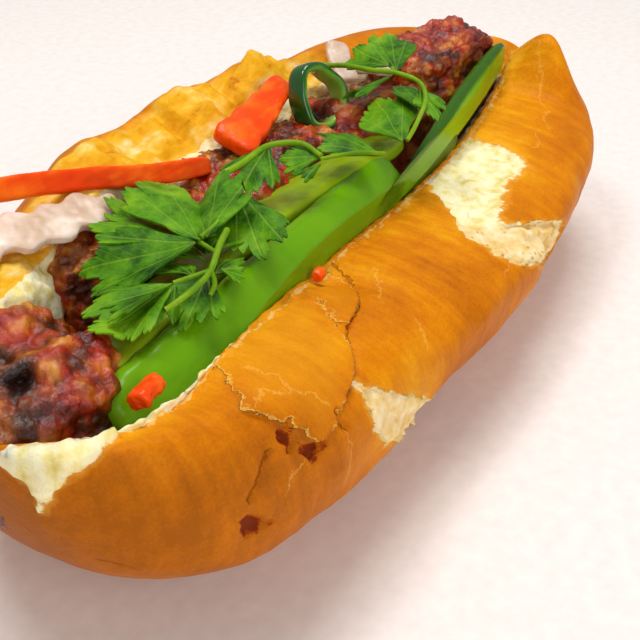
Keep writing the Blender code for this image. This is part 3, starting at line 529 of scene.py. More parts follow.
    # Hollows under the lifted plates and fine cracks are painted dark red-brown inside as shade, darker farther
    # into a hollow.
    cave = add(tree, "Math", {0: fray, 1: 5.0, 2: hollow}, operation="MULTIPLY_ADD")
    inner = add(tree, "ValToRGB", {"Fac": cave}, stops=[
        (0.0, "#C06A1C"), (0.3, "#A8440E"), (0.8, "#6E220A")])
    cave = add(tree, "MapRange", {0: cave, 1: -0.1, 2: 0.2, 4: 0.92})
    colour = add(tree, "Mix", {0: cave, 6: colour, 7: inner}, out=2, data_type="RGBA")
    slit = add(tree, "Math", {0: fray, 1: 2.2, 2: crack}, operation="MULTIPLY_ADD")
    slit = add(tree, "Math", {0: slit}, operation="ABSOLUTE")
    away = add(tree, "Math", {0: crack_far, 1: 0.9}, operation="SUBTRACT")
    slit = add(tree, "Math", {0: slit, 1: away}, operation="MAXIMUM")
    wider = add(tree, "MapRange", {0: mottle, 1: 0.35, 2: 0.65, 3: 0.12, 4: 0.42})
    slit = add(tree, "MapRange", {0: slit, 1: 0.04, 2: wider, 3: 0.7, 4: 0.0})
    colour = add(tree, "Mix", {0: slit, 6: colour, 7: "#A4540E"}, out=2, data_type="RGBA")
    tree.links.new(colour, shader.inputs["Base Color"])
    gloss = add(tree, "MapRange", {0: bare, 3: 0.42, 4: 0.9})
    tree.links.new(gloss, shader.inputs["Roughness"])
    glow = add(tree, "Math", {0: bare, 1: 0.4}, operation="MULTIPLY")
    tree.links.new(glow, shader.inputs["Subsurface Weight"])
    # Fine relief: plate edges 0.5 mm high, grain and streaks of the skin, pores of the crumb.
    porous = add(tree, "Math", {0: pore, 1: bare}, operation="MULTIPLY")
    relief = 0.0
    for part, share in ((speck, 0.10), (streak, 0.16), (mottle, 0.30), (raised, 0.5), (slit, -0.35),
                        (porous, 0.7), (bare, -0.3)):
        relief = add(tree, "Math", {0: part, 1: share, 2: relief}, operation="MULTIPLY_ADD")
    dent = add(tree, "Bump", {"Height": relief, "Strength": 1.0, "Distance": 0.0010})
    tree.links.new(dent, shader.inputs["Normal"])
    return made


roll = make_bread()
roll.data.materials.append(bread_material())
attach(roll, "root")
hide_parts("bread")

# Grilled pork: five patties of coarse minced pork, browned on a grill and wet with a dark sweet glaze.
# Each is a rounded block, swollen with meat grains, and sits between the walls of the slit.
# FILLED is the share of the half length that any filling may reach.
FILLED = 0.985
PATTIES = {
    "pork_near": ((-88.0, -1.5, 37.0), (17.5, 15.5, 13.0), -28.0, 3),
    "pork_left": ((-47.0, 15.0, 36.0), (15.0, 10.0, 11.0), -12.0, 8),
    "pork_middle": ((-4.0, 12.5, 34.5), (24.0, 13.0, 13.0), -3.0, 12),
    "pork_right": ((38.0, 7.0, 35.0), (19.0, 13.0, 13.0), -14.0, 21),
    "pork_far": ((70.0, 4.5, 42.5), (20.0, 12.5, 12.5), -6.0, 31),
}


def make_patty(name, centre, half, turn, seed, rows=136, ring=256):
    """A superellipsoid of power 3.2 under seven sine waves, then grains 5, 2 and 1 mm across pushed outward.

    The near piece has one deep pit in its top, painted darker inside as shade.
    """
    rng = np.random.default_rng(seed)
    v = np.linspace(0, math.pi, rows + 2)[1:-1, None]
    w = np.linspace(0, 2 * math.pi, ring, endpoint=False)[None]
    way = np.stack(np.broadcast_arrays(np.cos(v), np.sin(v) * np.cos(w), np.sin(v) * np.sin(w)), -1)
    reach = (np.abs(way) ** 3.2).sum(-1) ** (-1 / 3.2)
    for k in range(7):
        wave = rng.normal(0, 2.6 + 0.35 * k, 3)
        reach = reach * (1 + 0.035 * np.sin(way @ wave + rng.uniform(0, 6.28)))
    body = way * reach[..., None] * np.asarray(half)
    c, s = math.cos(math.radians(turn)), math.sin(math.radians(turn))
    body = body @ np.array([[c, s, 0], [-s, c, 0], [0, 0, 1]]) + np.asarray(centre)
    normal = outward(body)
    normal = normal * np.sign((normal * way).sum(-1, keepdims=True).mean())
    grain = 0.62 - pebbles_at(body, 5.2, seed + 3)
    fine = 0.6 - pebbles_at(body, 2.3, seed + 9)
    tiny = 0.6 - pebbles_at(body, 1.1, seed + 13)
    lump = 1.5 * roughness_at(body, 9.0, seed + 5, 2)
    body = body + normal * (lump + 1.7 * grain + 1.2 * fine + 0.45 * tiny - 0.8)[..., None]
    pit = bump(np.hypot(body[..., 0] + 91.6, body[..., 1] + 6.9), 0.0, 2.0) * (body[..., 2] > centre[2])
    body = body - normal * (3.0 * pit)[..., None]
    # The pit gets a low grain mark, which paints shade inside it.
    grain = grain - 2.0 * pit
    u = np.clip(body[..., 0] / HALF_LENGTH, -FILLED, FILLED)
    rim_y, rim_z, crown_y, crown_z = rim_heights(u)
    wide = taper(u)[0]
    body[..., 0] = u * HALF_LENGTH
    bend = BEND * u * u
    body[..., 1] = np.clip(body[..., 1], bend + (rim_y + 3.2) * wide, bend + (crown_y - 8.0) * wide)
    first, last = body[0].mean(0), body[-1].mean(0)
    return closed_tube(name, body, first, last, {"grain": grain})


def pork_material():
    """Glazed grilled mince: red-brown meat, amber fat, near-black char, under a wet coat."""
    made, tree, shader = new_material("glazed_grilled_pork", IOR=1.45, Specular_IOR_Level=0.04, Coat_Weight=0.8,
                                      Coat_Roughness=0.08)
    where = add(tree, "TexCoord", out="Object")
    grain = add(tree, "Attribute", out="Fac", attribute_name="grain")
    # Lean and fat in patches 8 mm wide, mottled at 2 mm; amber glaze pooled between them; char on the rises.
    patch = add(tree, "TexNoise", {"Vector": where, "Scale": 110.0, "Detail": 5.0, "Roughness": 0.6})
    mottle = add(tree, "TexNoise", {"Vector": where, "Scale": 420.0, "Detail": 5.0, "Roughness": 0.65})
    grit = add(tree, "TexNoise", {"Vector": where, "Scale": 1300.0, "Detail": 3.0, "Roughness": 0.6})
    # Painted shade: the grain mark makes the crevices between the meat grains darker and their tops paler, and
    # the pit darker still.
    tone = add(tree, "Math", {0: grain, 1: 0.50, 2: patch}, operation="MULTIPLY_ADD")
    tone = add(tree, "Math", {0: mottle, 1: 0.5, 2: tone}, operation="MULTIPLY_ADD")
    lean = add(tree, "ValToRGB", {"Fac": tone}, stops=[
        (0.52, "#1C0200"), (0.66, "#620E00"), (0.80, "#9E2000"), (0.92, "#B24200"),
        (1.0, "#C46A24")])
    fatty = add(tree, "ValToRGB", {"Fac": tone}, stops=[
        (0.52, "#280A00"), (0.68, "#6E3204"), (0.86, "#9C5A08"), (1.0, "#CC9430")])
    spread = add(tree, "TexNoise", {"Vector": where, "Scale": 85.0, "Detail": 4.0, "Roughness": 0.6,
                                    "Distortion": 0.5})
    spread = add(tree, "MapRange", {0: spread, 1: 0.46, 2: 0.60, 4: 0.85})
    meat = add(tree, "Mix", {0: spread, 6: lean, 7: fatty}, out=2, data_type="RGBA")
    bits = add(tree, "TexVoronoi", {"Vector": where, "Scale": 170.0, "Randomness": 1.0})
    bit = add(tree, "MapRange", {0: bits, 1: 0.10, 2: 0.22, 3: 0.8, 4: 0.0})
    few = add(tree, "MapRange", {0: spread, 1: 0.5, 2: 0.8})
    bit = add(tree, "Math", {0: bit, 1: few}, operation="MULTIPLY")
    meat = add(tree, "Mix", {0: bit, 6: meat, 7: "#DCA024"}, out=2, data_type="RGBA")
    char = add(tree, "TexNoise", {"Vector": where, "Scale": 75.0, "Detail": 4.0, "Roughness": 0.65})
    burnt = add(tree, "MapRange", {0: char, 1: 0.54, 2: 0.66, 4: 0.75})
    meat = add(tree, "Mix", {0: burnt, 6: meat, 7: "#180704"}, out=2, data_type="RGBA")
    tree.links.new(meat, shader.inputs["Base Color"])
    wet = add(tree, "MapRange", {0: mottle, 1: 0.35, 2: 0.65, 3: 0.2, 4: 0.45})
    tree.links.new(wet, shader.inputs["Roughness"])
    dent = add(tree, "Bump", {"Height": mottle, "Strength": 0.8, "Distance": 0.0008})
    tree.links.new(dent, shader.inputs["Normal"])
    film = add(tree, "Math", {0: grit, 1: 0.45, 2: mottle}, operation="MULTIPLY_ADD")
    film = add(tree, "Bump", {"Height": film, "Strength": 1.0, "Distance": 0.0005})
    tree.links.new(film, shader.inputs["Coat Normal"])
    return made


pork = pork_material()
height_points = []
for name, (centre, half, turn, seed) in PATTIES.items():
    patty = make_patty(name + "_meat", centre, half, turn, seed)
    patty.data.materials.append(pork)
    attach(patty, "root")
    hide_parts(name)
    height_points.append(patty)

# Cucumber: four long slices of an unpeeled cucumber, two laid face out along the near rim.
# Wet pale flesh with a thin dark skin along one side; cut with a knife, so the faces are flat.
WEDGE = [(-6.0, -4.5), (-6.4, -2.0), (-1.0, 3.6), (1.5, 5.2), (4.0, 4.4), (5.2, 0.5), (4.6, -4.0),
         (0.0, -5.0)]


def rounded_box(width, height, corner=4.0, count=48):
    """Closed outline of a strip: a superellipse of the given width, height and corner power."""
    a = np.linspace(0, 2 * math.pi, count, endpoint=False) + math.pi / count
    c, s = np.cos(a), np.sin(a)
    reach = (np.abs(c) ** corner + np.abs(s) ** corner) ** (-1 / corner)
    return np.stack([c * reach * width / 2, s * reach * height / 2], 1)


def rounded_outline(corners, count=64):
    """Closed outline through the corners, evenly spaced and eased twice with its neighbours."""
    corners = np.asarray(corners, float)
    shut = np.concatenate([corners, corners[:1]])
    length = np.concatenate([[0], np.cumsum(np.linalg.norm(np.diff(shut, axis=0), axis=1))])
    place = np.linspace(0, length[-1], count, endpoint=False)
    line = np.stack([np.interp(place, length, shut[:, k]) for k in range(2)], 1)
    for _ in range(2):
        line = (np.roll(line, 1, 0) + 2 * line + np.roll(line, -1, 0)) / 4
    return line


def smooth_path(path, spots):
    """Catmull-Rom curve through the path points; spots run from 0 to 1."""
    knots = np.asarray(path, float)[None]
    return spline_rows(knots, np.clip(np.asarray(spots), 0, 1) * (knots.shape[1] - 1))[0]


def sides_of(line):
    """Unit directions at each point of a line: level to its left, and up square to both."""
    ahead = np.gradient(line, axis=0)
    ahead = ahead / np.linalg.norm(ahead, axis=1, keepdims=True)
    side = np.cross([0, 0, 1.0], ahead)
    side = side / np.linalg.norm(side, axis=1, keepdims=True)
    return side, np.cross(ahead, side)


def make_strip(name, path, outline, twist=(0.0, 0.0), ends=0.5, steps=160, swell=None, grit=0.12, even=False,
               tucked=False):
    """Carry a closed outline along a smooth path, turned by the twist, its ends drawn in and closed.

    A tucked strip is pressed flat where it would reach past the near rim.
    """
    share = np.linspace(0.0, 1.0, steps)
    spots = share if even else 0.5 - 0.5 * np.cos((0.01 + 0.98 * share) * math.pi)
    line = smooth_path(path, spots)
    side, upward = sides_of(line)
    turn = np.radians(np.interp(spots, [0, 1], twist))[:, None]
    across = side * np.cos(turn) + upward * np.sin(turn)
    normal = upward * np.cos(turn) - side * np.sin(turn)
    size = 1 - (1 - ends) * np.abs(2 * spots - 1) ** 14
    size = size * np.sqrt(np.clip(1 - np.abs(2 * spots - 1) ** 60, 0.02, 1))
    outline = np.asarray(outline, float)
    wide = outline[None, :, :1] * (1 if swell is None else swell(spots)[:, :, None])
    section = across[:, None] * wide + normal[:, None] * outline[None, :, 1:]
    rings = line[:, None] + size[:, None, None] * section
    rings = rings + outward(rings) * (grit * roughness_at(rings, 2.5, 17, 3))[..., None]
    if tucked:
        u = np.clip(rings[..., 0] / HALF_LENGTH, -FILLED, FILLED)
        rim = BEND * u * u + (rim_heights(u)[0] + 1.3) * taper(u)[0]
        rings[..., 1] = np.maximum(rings[..., 1], rim)
    marks = {"along": spots[:, None], "high": outline[None, :, 1], "wide": outline[None, :, 0]}
    return closed_tube(name, rings, rings[0].mean(0), rings[-1].mean(0), marks)


def cucumber_material(name, flesh, rim, skin_from, skin_to, skin, top_skin):
    """Wet cut cucumber: satin green flesh, tinged with the rim colour toward its lower side, and dark glossy
    skin past one edge.
    """
    made, tree, shader = new_material(name, Roughness=0.22, IOR=1.36, Specular_IOR_Level=0.3,
                                      Subsurface_Weight=0.1, Subsurface_Scale=0.003)
    where = add(tree, "TexCoord", out="Object")
    along = add(tree, "Attribute", out="Fac", attribute_name="along")
    wide = add(tree, "Attribute", out="Fac", attribute_name="wide")
    high = add(tree, "Attribute", out="Fac", attribute_name="high")
    # Fibres run lengthwise, about 1 mm apart, with cloudier patches 15 mm long.
    drawn = add(tree, "Mapping", {"Vector": where, "Scale": (0.08, 1.0, 1.0)})
    fibre = add(tree, "TexNoise", {"Vector": drawn, "Scale": 500.0, "Detail": 3.0})
    cloud = add(tree, "TexNoise", {"Vector": where, "Scale": 40.0, "Detail": 2.0})
    tone = add(tree, "Math", {0: fibre, 1: 0.25, 2: cloud}, operation="MULTIPLY_ADD")
    body = add(tree, "ValToRGB", {"Fac": tone}, stops=[
        (0.40, flesh[0]), (0.62, flesh[1]), (0.86, flesh[2])])
    lower = add(tree, "MapRange", {0: high, 1: -1.5, 2: -4.6, 4: 0.55})
    body = add(tree, "Mix", {0: lower, 6: body, 7: rim}, out=2, data_type="RGBA")
    peel = add(tree, "MapRange", {0: wide, 1: skin_from, 2: skin_to})
    if top_skin:
        late = add(tree, "MapRange", {0: along, 1: 0.02, 2: 0.3})
        peel = add(tree, "Math", {0: peel, 1: late}, operation="MULTIPLY")
    body = add(tree, "Mix", {0: peel, 6: body, 7: skin}, out=2, data_type="RGBA")
    tree.links.new(body, shader.inputs["Base Color"])
    dent = add(tree, "Bump", {"Height": fibre, "Strength": 0.25, "Distance": 0.0004})
    tree.links.new(dent, shader.inputs["Normal"])
    return made


bright_flesh = cucumber_material("cut_cucumber_face", ("#5A9206", "#659C07", "#70A40A"), "#94A40E", 3.4, 4.4,
                                 "#1F5412", False)
ridge_flesh = cucumber_material("cut_cucumber_ridge", ("#5E9008", "#74A80A", "#8CB812"), "#9CB014",
                                -1.0, -0.3, "#33600E", True)
pale_flesh = cucumber_material("cut_cucumber_heart", ("#76960A", "#86A20E", "#98AE1E"), "#7C920E", 4.3, 5.0,
                               "#1F5412", False)
# A darker copy of the flesh: painted shade for the slice that lies low in the slit, under the other slices.
shade_flesh = cucumber_material("cut_cucumber_painted_shade", ("#3A5A08", "#56760C", "#6E8A14"), "#3C5A0A", 1.5, 3.0,
                                "#1F4A10", False)
SLICES = [
    ("cucumber_front",
     [(-84, -16.5, 40), (-54, -16.5, 41), (-28, -15, 40.5), (-4, -13.5, 40), (17, -12.5, 39.5)],
     rounded_outline(WEDGE), (0, 0), bright_flesh),
    ("cucumber_right",
     [(0, -19.5, 33.5), (17, -18.2, 37.6), (43, -15.0, 41.5), (62, -12.5, 43.5), (89, -10, 45.5)],
     rounded_outline(WEDGE) * [0.62, 0.8], (4, 8), ridge_flesh),
    ("cucumber_behind", [(-80, -8, 42), (-48, -4, 42.5), (-18, -3, 42.5), (28, -7, 42)],
     rounded_box(12.5, 4.2), (-14, -10), pale_flesh),
    ("cucumber_below", [(10, -22.5, 31), (30, -21, 33.5), (47, -18, 36)],
     rounded_box(6.5, 4.5), (-35, -35), shade_flesh),
]
for name, path, outline, twist, material in SLICES:
    slice_piece = make_strip(name + "_slice", path, outline, twist, ends=0.7, steps=220, tucked=True)
    slice_piece.data.materials.append(material)
    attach(slice_piece, "root")
    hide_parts(name)
    height_points.append(slice_piece)

# Carrot: a long strip that lies out over the far rim, a thick wedge, and two small bits by the near rim.
# Raw carrot cut with a knife and lightly pickled, so it is wet, smooth and a little see-through.


def carrot_material():
    """Pickled raw carrot: strong orange, satin and wet, with fine lengthwise fibres."""
    made, tree, shader = new_material("pickled_carrot", Roughness=0.26, IOR=1.38, Specular_IOR_Level=0.35,
                                      Subsurface_Weight=0.2, Subsurface_Scale=0.002,
                                      Subsurface_Radius=(1.0, 0.35, 0.1))
    where = add(tree, "TexCoord", out="Object")
    drawn = add(tree, "Mapping", {"Vector": where, "Scale": (0.12, 1.0, 1.0)})
    fibre = add(tree, "TexNoise", {"Vector": drawn, "Scale": 700.0, "Detail": 4.0})
    cloud = add(tree, "TexNoise", {"Vector": where, "Scale": 140.0, "Detail": 3.0})
    tone = add(tree, "Math", {0: fibre, 1: 0.4, 2: cloud}, operation="MULTIPLY_ADD")
    body = add(tree, "ValToRGB", {"Fac": tone}, stops=[
        (0.40, "#E63C02"), (0.66, "#F24A02"), (0.95, "#FF7610")])
    tree.links.new(body, shader.inputs["Base Color"])
    dent = add(tree, "Bump", {"Height": fibre, "Strength": 0.3, "Distance": 0.0004})
    tree.links.new(dent, shader.inputs["Normal"])
    return made


carrot = carrot_material()
CARROTS = [
    ("carrot_long",
     [(-14, 15.2, 47.0), (-29, 19.7, 49.8), (-44, 24.5, 53.8), (-60, 28.5, 57.4), (-76, 31.5, 59.4)],
     rounded_box(3.4, 4.4, 8.0), (24, 30), 160, 1.0),
    ("carrot_wedge", [(-7, 14.5, 48.8), (7, 16.8, 50.3), (23.5, 20.5, 52)],
     rounded_box(10.0, 3.8, 7.0), (24, 34), 90, 0.5),
    ("carrot_bit_left", [(-83.2, -21.8, 45.4), (-80.0, -21.3, 45.6), (-76.8, -20.6, 45.2)],
     rounded_box(4.4, 3.2, 2.6), (-25, -15), 60, 0.6),
    ("carrot_bit_right", [(-29.4, -20.4, 38.4), (-26.2, -20.2, 38.2)],
     rounded_box(2.3, 2.3, 2.6), (0, 0), 30, 0.8),
]
for name, path, outline, twist, steps, narrow in CARROTS:
    notch = 0.09 if name == "carrot_wedge" else 0.0
    taper_off = lambda spots, narrow=narrow, notch=notch: (
        1 + (narrow - 1) * spots[:, None] + notch * np.abs(np.sin(spots[:, None] * 13.0))) * np.ones((1, 48))
    carrot_piece = make_strip(name + "_cut", path, outline, twist, ends=0.7, steps=steps, swell=taper_off,
                             grit=0.45 if "bit" in name else 0.12)
    carrot_piece.data.materials.append(carrot)
    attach(carrot_piece, "root")
    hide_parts(name)
    height_points.append(carrot_piece)

# Daikon: pale pickled radish, one long strip with a wavy cut edge on the far rim and two slices.
# Milky and wet, so light goes a little way in.


def daikon_material():
    """Pickled daikon: milky white, faintly pink, wet and slightly see-through."""
    made, tree, shader = new_material("pickled_daikon", Roughness=0.3, IOR=1.36, Subsurface_Weight=0.35,
                                      Subsurface_Scale=0.003)
    where = add(tree, "TexCoord", out="Object")
    cloud = add(tree, "TexNoise", {"Vector": where, "Scale": 160.0, "Detail": 4.0})
    body = add(tree, "ValToRGB", {"Fac": cloud}, stops=[
        (0.35, "#C8A88E"), (0.52, "#DAC0AA"), (0.7, "#EEE0D4")])
    tree.links.new(body, shader.inputs["Base Color"])
    dent = add(tree, "Bump", {"Height": cloud, "Strength": 0.4, "Distance": 0.0008})
    tree.links.new(dent, shader.inputs["Normal"])
    return made


daikon = daikon_material()
DAIKONS = [
    ("daikon_long",
     [(-43, 14.0, 49.5), (-50, 17.5, 51.5), (-58, 19.0, 52.0), (-67, 22.0, 53.0), (-78, 24.0, 52.5)],
     rounded_box(8.5, 2.2), (-18, -24), 140, 0.16),
    ("daikon_middle", [(41.5, 12.5, 48.0), (46, 17.5, 50.5), (51, 22.0, 53.5)],
     rounded_box(6.0, 1.8), (10, 10), 50, 0.0),
    ("daikon_right", [(49.5, 14, 49.5), (50, 9.5, 50), (52, 5.0, 49.5)],
     rounded_box(6.5, 1.8), (15, 15), 50, 0.0),
]
for name, path, outline, twist, steps, waves in DAIKONS:
    wavy = lambda spots, waves=waves: 1 + waves * np.sin(spots[:, None] * 31.0 + 0.6) * np.ones((1, 48))
    daikon_piece = make_strip(name + "_cut", path, outline, twist, ends=0.6, steps=steps, swell=wavy,
                              grit=0.25)
    daikon_piece.data.materials.append(daikon)
    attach(daikon_piece, "root")
    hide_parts(name)
    height_points.append(daikon_piece)

# Chili: one ring of a fresh green chili, leaning on the far filling.
# Thick flesh under a dark skin that shines like wax.
CHILI_CENTRE = (24.0, 11.0, 50.0)


def make_chili(centre, radius, width, thick, tilt, turn, around=160, ring=48):
    """Carry a rounded square section round a circle with three soft lobes, then tilt and turn it."""
    a = np.linspace(0, 2 * math.pi, around, endpoint=False)[:, None]
    section = rounded_box(width * 1.15, thick * 1.15, 3.0, ring)
    band = radius * (1 + 0.08 * np.cos(3 * a + 0.7)) + section[None, :, 0] + 0.12 * np.sin(a * 7)
    flat = np.stack([band * np.cos(a), band * np.sin(a), section[None, :, 1] + 0 * band], -1)
    tx, tz = math.radians(tilt), math.radians(turn)
    lean = np.array([[1, 0, 0], [0, math.cos(tx), -math.sin(tx)], [0, math.sin(tx), math.cos(tx)]])
    swing = np.array([[math.cos(tz), -math.sin(tz), 0], [math.sin(tz), math.cos(tz), 0], [0, 0, 1]])
    points = (flat @ lean.T @ swing.T + np.asarray(centre)).reshape(-1, 3)
    i, j = np.meshgrid(np.arange(around), np.arange(ring), indexing="ij")
    p, q = i * ring + j, i * ring + (j + 1) % ring
    r, s = (i + 1) % around * ring + (j + 1) % ring, (i + 1) % around * ring + j
    faces = np.stack([p, s, r, q], -1).reshape(-1, 4).tolist()
    outer = np.broadcast_to(section[None, :, 0], (around, ring))
    return finish_mesh("chili_ring_cut", points, faces, {"outer": outer})


def chili_material():
    """Fresh green chili: waxy dark skin outside, paler moist flesh inside the ring."""
    made, tree, shader = new_material("fresh_green_chili", Roughness=0.18, IOR=1.45, Coat_Weight=0.5,
                                      Coat_Roughness=0.06)
    where = add(tree, "TexCoord", out="Object")
    outer = add(tree, "Attribute", out="Fac", attribute_name="outer")
    cloud = add(tree, "TexNoise", {"Vector": where, "Scale": 260.0, "Detail": 3.0})
    edge = add(tree, "Math", {0: cloud, 1: 1.2, 2: outer}, operation="MULTIPLY_ADD")
    body = add(tree, "ValToRGB", {"Fac": edge}, stops=[
        (0.0, "#7CA83A"), (0.35, "#4A8A1E"), (0.75, "#1E6410"), (1.0, "#144E0C")])
    tree.links.new(body, shader.inputs["Base Color"])
    return made


chili_piece = make_chili(CHILI_CENTRE, 7.0, 2.1, 4.6, 66.0, -9.0)
chili_piece.data.materials.append(chili_material())
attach(chili_piece, "root")
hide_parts("chili_ring")
height_points.append(chili_piece)

# Cilantro: three sprigs laid on top. Thin toothed leaves in lobes on pale green stems.
# Leaves fan out from their foot, sag and curl, and rest on what lies under them.
STEM_RADIUS = 0.62
LEAF_THICKNESS = 0.3
FINGER_ANGLE = 0.72
CELL = 1.0
FIELD_CELLS = (240, 120)
FIELD_CORNER = np.array([-120.0, -60.0])
SPRIGS = {
    "cilantro_near": ([
        ((-48, -8, 52), (-45, 16, 51.5), 30, 0.25),
        ((-50.5, -9, 53), (-64, 9.5, 50), 26, 0.3),
        ((-61.5, -12.5, 52), (-73.5, -1.5, 50), 36, 0.3),
        ((-62, -12.5, 52), (-78.5, -8, 49), 30, 0.3),
        ((-61.5, -13, 52), (-69.5, -13, 48), 34, 0.3),
        ((-49.5, -9, 53), (-34, 12.5, 53), 32, 0.2),
        ((-48, -9.5, 53), (-29, 0.5, 55), 26, 0.2),
        ((-31.5, -4.5, 54), (-44, -19, 49), 20, -0.3),
        ((-53, -16, 51), (-50.5, -20, 49.5), 38, 0.2),
        ((-55, -14.5, 50.5), (-66, -17.5, 47.5), 38, 0.2),
        ((-50, -10, 50), (-49.5, 0, 50), 34, 0.2),
        ((-48.5, -9.5, 50), (-36.5, -6.5, 50), 34, 0.2),
        ((-53, -14.5, 49.5), (-45.5, -15.5, 49.5), 30, 0.2),
        ((-56, -12.5, 50), (-52.5, -4, 49.5), 32, 0.2),
    ], [
        ([(-44, -11, 53), (-50.5, -14, 54), (-56.5, -16.5, 53), (-61, -16.5, 52), (-66.5, -14.5, 50)], 1),
        ([(-56.5, -16.5, 53), (-61.5, -12.5, 52)], 0.8),
        ([(-56.5, -16.5, 53), (-57.5, -18, 51.5), (-59, -18, 50)], 0.8),
        ([(-48.5, -8.5, 53), (-42, -8.5, 54), (-31.5, -4.5, 54)], 0.8),
        ([(-49, -8.5, 52.5), (-48.5, -12, 51)], 0.8),
    ]),
    "cilantro_middle": ([
        ((3.5, -17, 50.5), (1.5, -2, 53), 26, 0.25),
        ((-10, -10, 54), (-14, -1.5, 53), 42, 0.25),
        ((-11.5, -11, 53), (-18.5, -7, 51), 38, 0.25),
        ((-14, 0, 55), (-28, -2.5, 51.5), 38, 0.25),
    ], [
        ([(-27.5, 1.5, 54), (-21.5, 0.5, 54.5), (-14, 0, 55), (-9.5, -5, 55), (-10.5, -10.5, 53.8)], 1.2),
        ([(3.5, -17.5, 50.5), (-3.5, -15, 53), (-11, -10.5, 53.5)], 0.8),
    ]),
    "cilantro_far": ([
        ((32.5, -5, 57), (51.5, 6.5, 60), 17, 0.2),
        ((32.5, -3, 58), (38.5, 10.5, 58), 26, 0.2),
        ((32, -4, 56), (23.5, 5, 51), 30, 0.2),
        ((10.5, -18, 51), (25.5, -3, 53), 26, 0.2),
        ((27, -14, 56), (20.5, -22, 54), 36, 0.2),
        ((19.5, -18, 55), (30, -8, 55), 20, 0.2),
    ], [
        ([(32.5, 15.5, 54), (29.5, 7, 57), (27.5, -1, 58), (29, -7, 58), (28.5, -13, 57), (22.5, -17.5, 56),
          (16, -19, 54), (11, -19, 50.5)], 1),
        ([(29, -6, 58), (32.5, -4, 57.5)], 0.8),
    ]),
}


def height_of(pieces):
    """Highest point of the pieces over each cell of the roll, spread over the cells beside it."""
    field = np.full(FIELD_CELLS, -99.0)
    for piece in pieces:
        spots = np.empty(len(piece.data.vertices) * 3)
        piece.data.vertices.foreach_get("co", spots)
        spots = spots.reshape(-1, 3) * 1000
        cell = np.floor((spots[:, :2] - FIELD_CORNER) / CELL).astype(int)
        cell = np.clip(cell, 0, np.subtract(FIELD_CELLS, 1))
        np.maximum.at(field, (cell[:, 0], cell[:, 1]), spots[:, 2])
    spread = field
    for shift in ((1, 0), (-1, 0), (0, 1), (0, -1)):
        spread = np.maximum(spread, np.roll(field, shift, (0, 1)))
    return spread


def lifted(points, field, gap):
    """Raise each point to the height field plus the gap; the field is read between four cells."""
    place = (points[..., :2] - FIELD_CORNER - CELL / 2) / CELL
    low = np.clip(np.floor(place).astype(int), 0, np.subtract(FIELD_CELLS, 2))
    f = place - low
    i, j = low[..., 0], low[..., 1]
    h = (field[i, j] * (1 - f[..., 0]) * (1 - f[..., 1]) + field[i + 1, j] * f[..., 0] * (1 - f[..., 1])
         + field[i, j + 1] * (1 - f[..., 0]) * f[..., 1] + field[i + 1, j + 1] * f[..., 0] * f[..., 1])
    out = points.copy()
    out[..., 2] = np.maximum(out[..., 2], h + gap)
    return out


def settled(field):
    """The height field spread two cells wider, then evened out, as a limp leaf bridges small dips."""
    wide = field
    for shift in ((2, 0), (-2, 0), (0, 2), (0, -2), (1, 1), (-1, -1), (1, -1), (-1, 1)):
        wide = np.maximum(wide, np.roll(field, shift, (0, 1)))
    for _ in range(3):
        wide = (wide + sum(np.roll(wide, shift, (0, 1)) for shift in ((1, 0), (-1, 0), (0, 1), (0, -1)))) / 5
    return np.maximum(wide, field)


def leaf_reach(angle, spread, seed):
    """Edge distance by angle: the outermost of three fingers, each ending in three round lobes with teeth.

    The edge is where the line from the foot leaves the farthest ellipse. The teeth are arches spaced
    evenly along that edge, shallower where it runs straight out from the foot.
    """
    edge = np.full(angle.shape, 0.10)
    lobes = ((0.0, 0.50, 0.50, 0.09), (-0.19, 0.66, 0.20, 0.070), (0.0, 0.79, 0.21, 0.09),
             (0.19, 0.66, 0.20, 0.070))
    for k in (-1, 0, 1):
        way = (FINGER_ANGLE * k + 0.08 * math.sin(seed * 5.3 + 2.0 * k)) * spread
        long = (1.0 - 0.18 * abs(k)) * (1 + 0.09 * math.sin(seed * 3.1 + 2.0 * k))
        for aside, middle, a, b in lobes:
            turn = angle - way - aside * (1 + 0.3 * math.sin(seed * 7.1 + k))
            low = np.cos(turn) ** 2 / (a * long) ** 2 + np.sin(turn) ** 2 / (b * long) ** 2
            half = middle * np.cos(turn) / (a * a * long)
            inside = half ** 2 - low * (middle ** 2 / a ** 2 - 1)
            far = (half + np.sqrt(np.maximum(inside, 0))) / low
            edge = np.maximum(edge, np.where((inside > 0) & (np.cos(turn) > 0), far, 0))
    step = np.hypot(np.diff(edge * np.cos(angle)), np.diff(edge * np.sin(angle)))
    along = np.concatenate([[[0.0]], np.cumsum(step, axis=1)], axis=1)
    arch = np.abs(np.sin(math.pi * (along / 0.095 + 0.35 * np.sin(along * 9.0 + seed)))) ** 0.6
    across = edge / np.hypot(edge, np.gradient(edge, angle[0], axis=1))
    return edge * (1 - 0.10 * (1 - arch) * across)


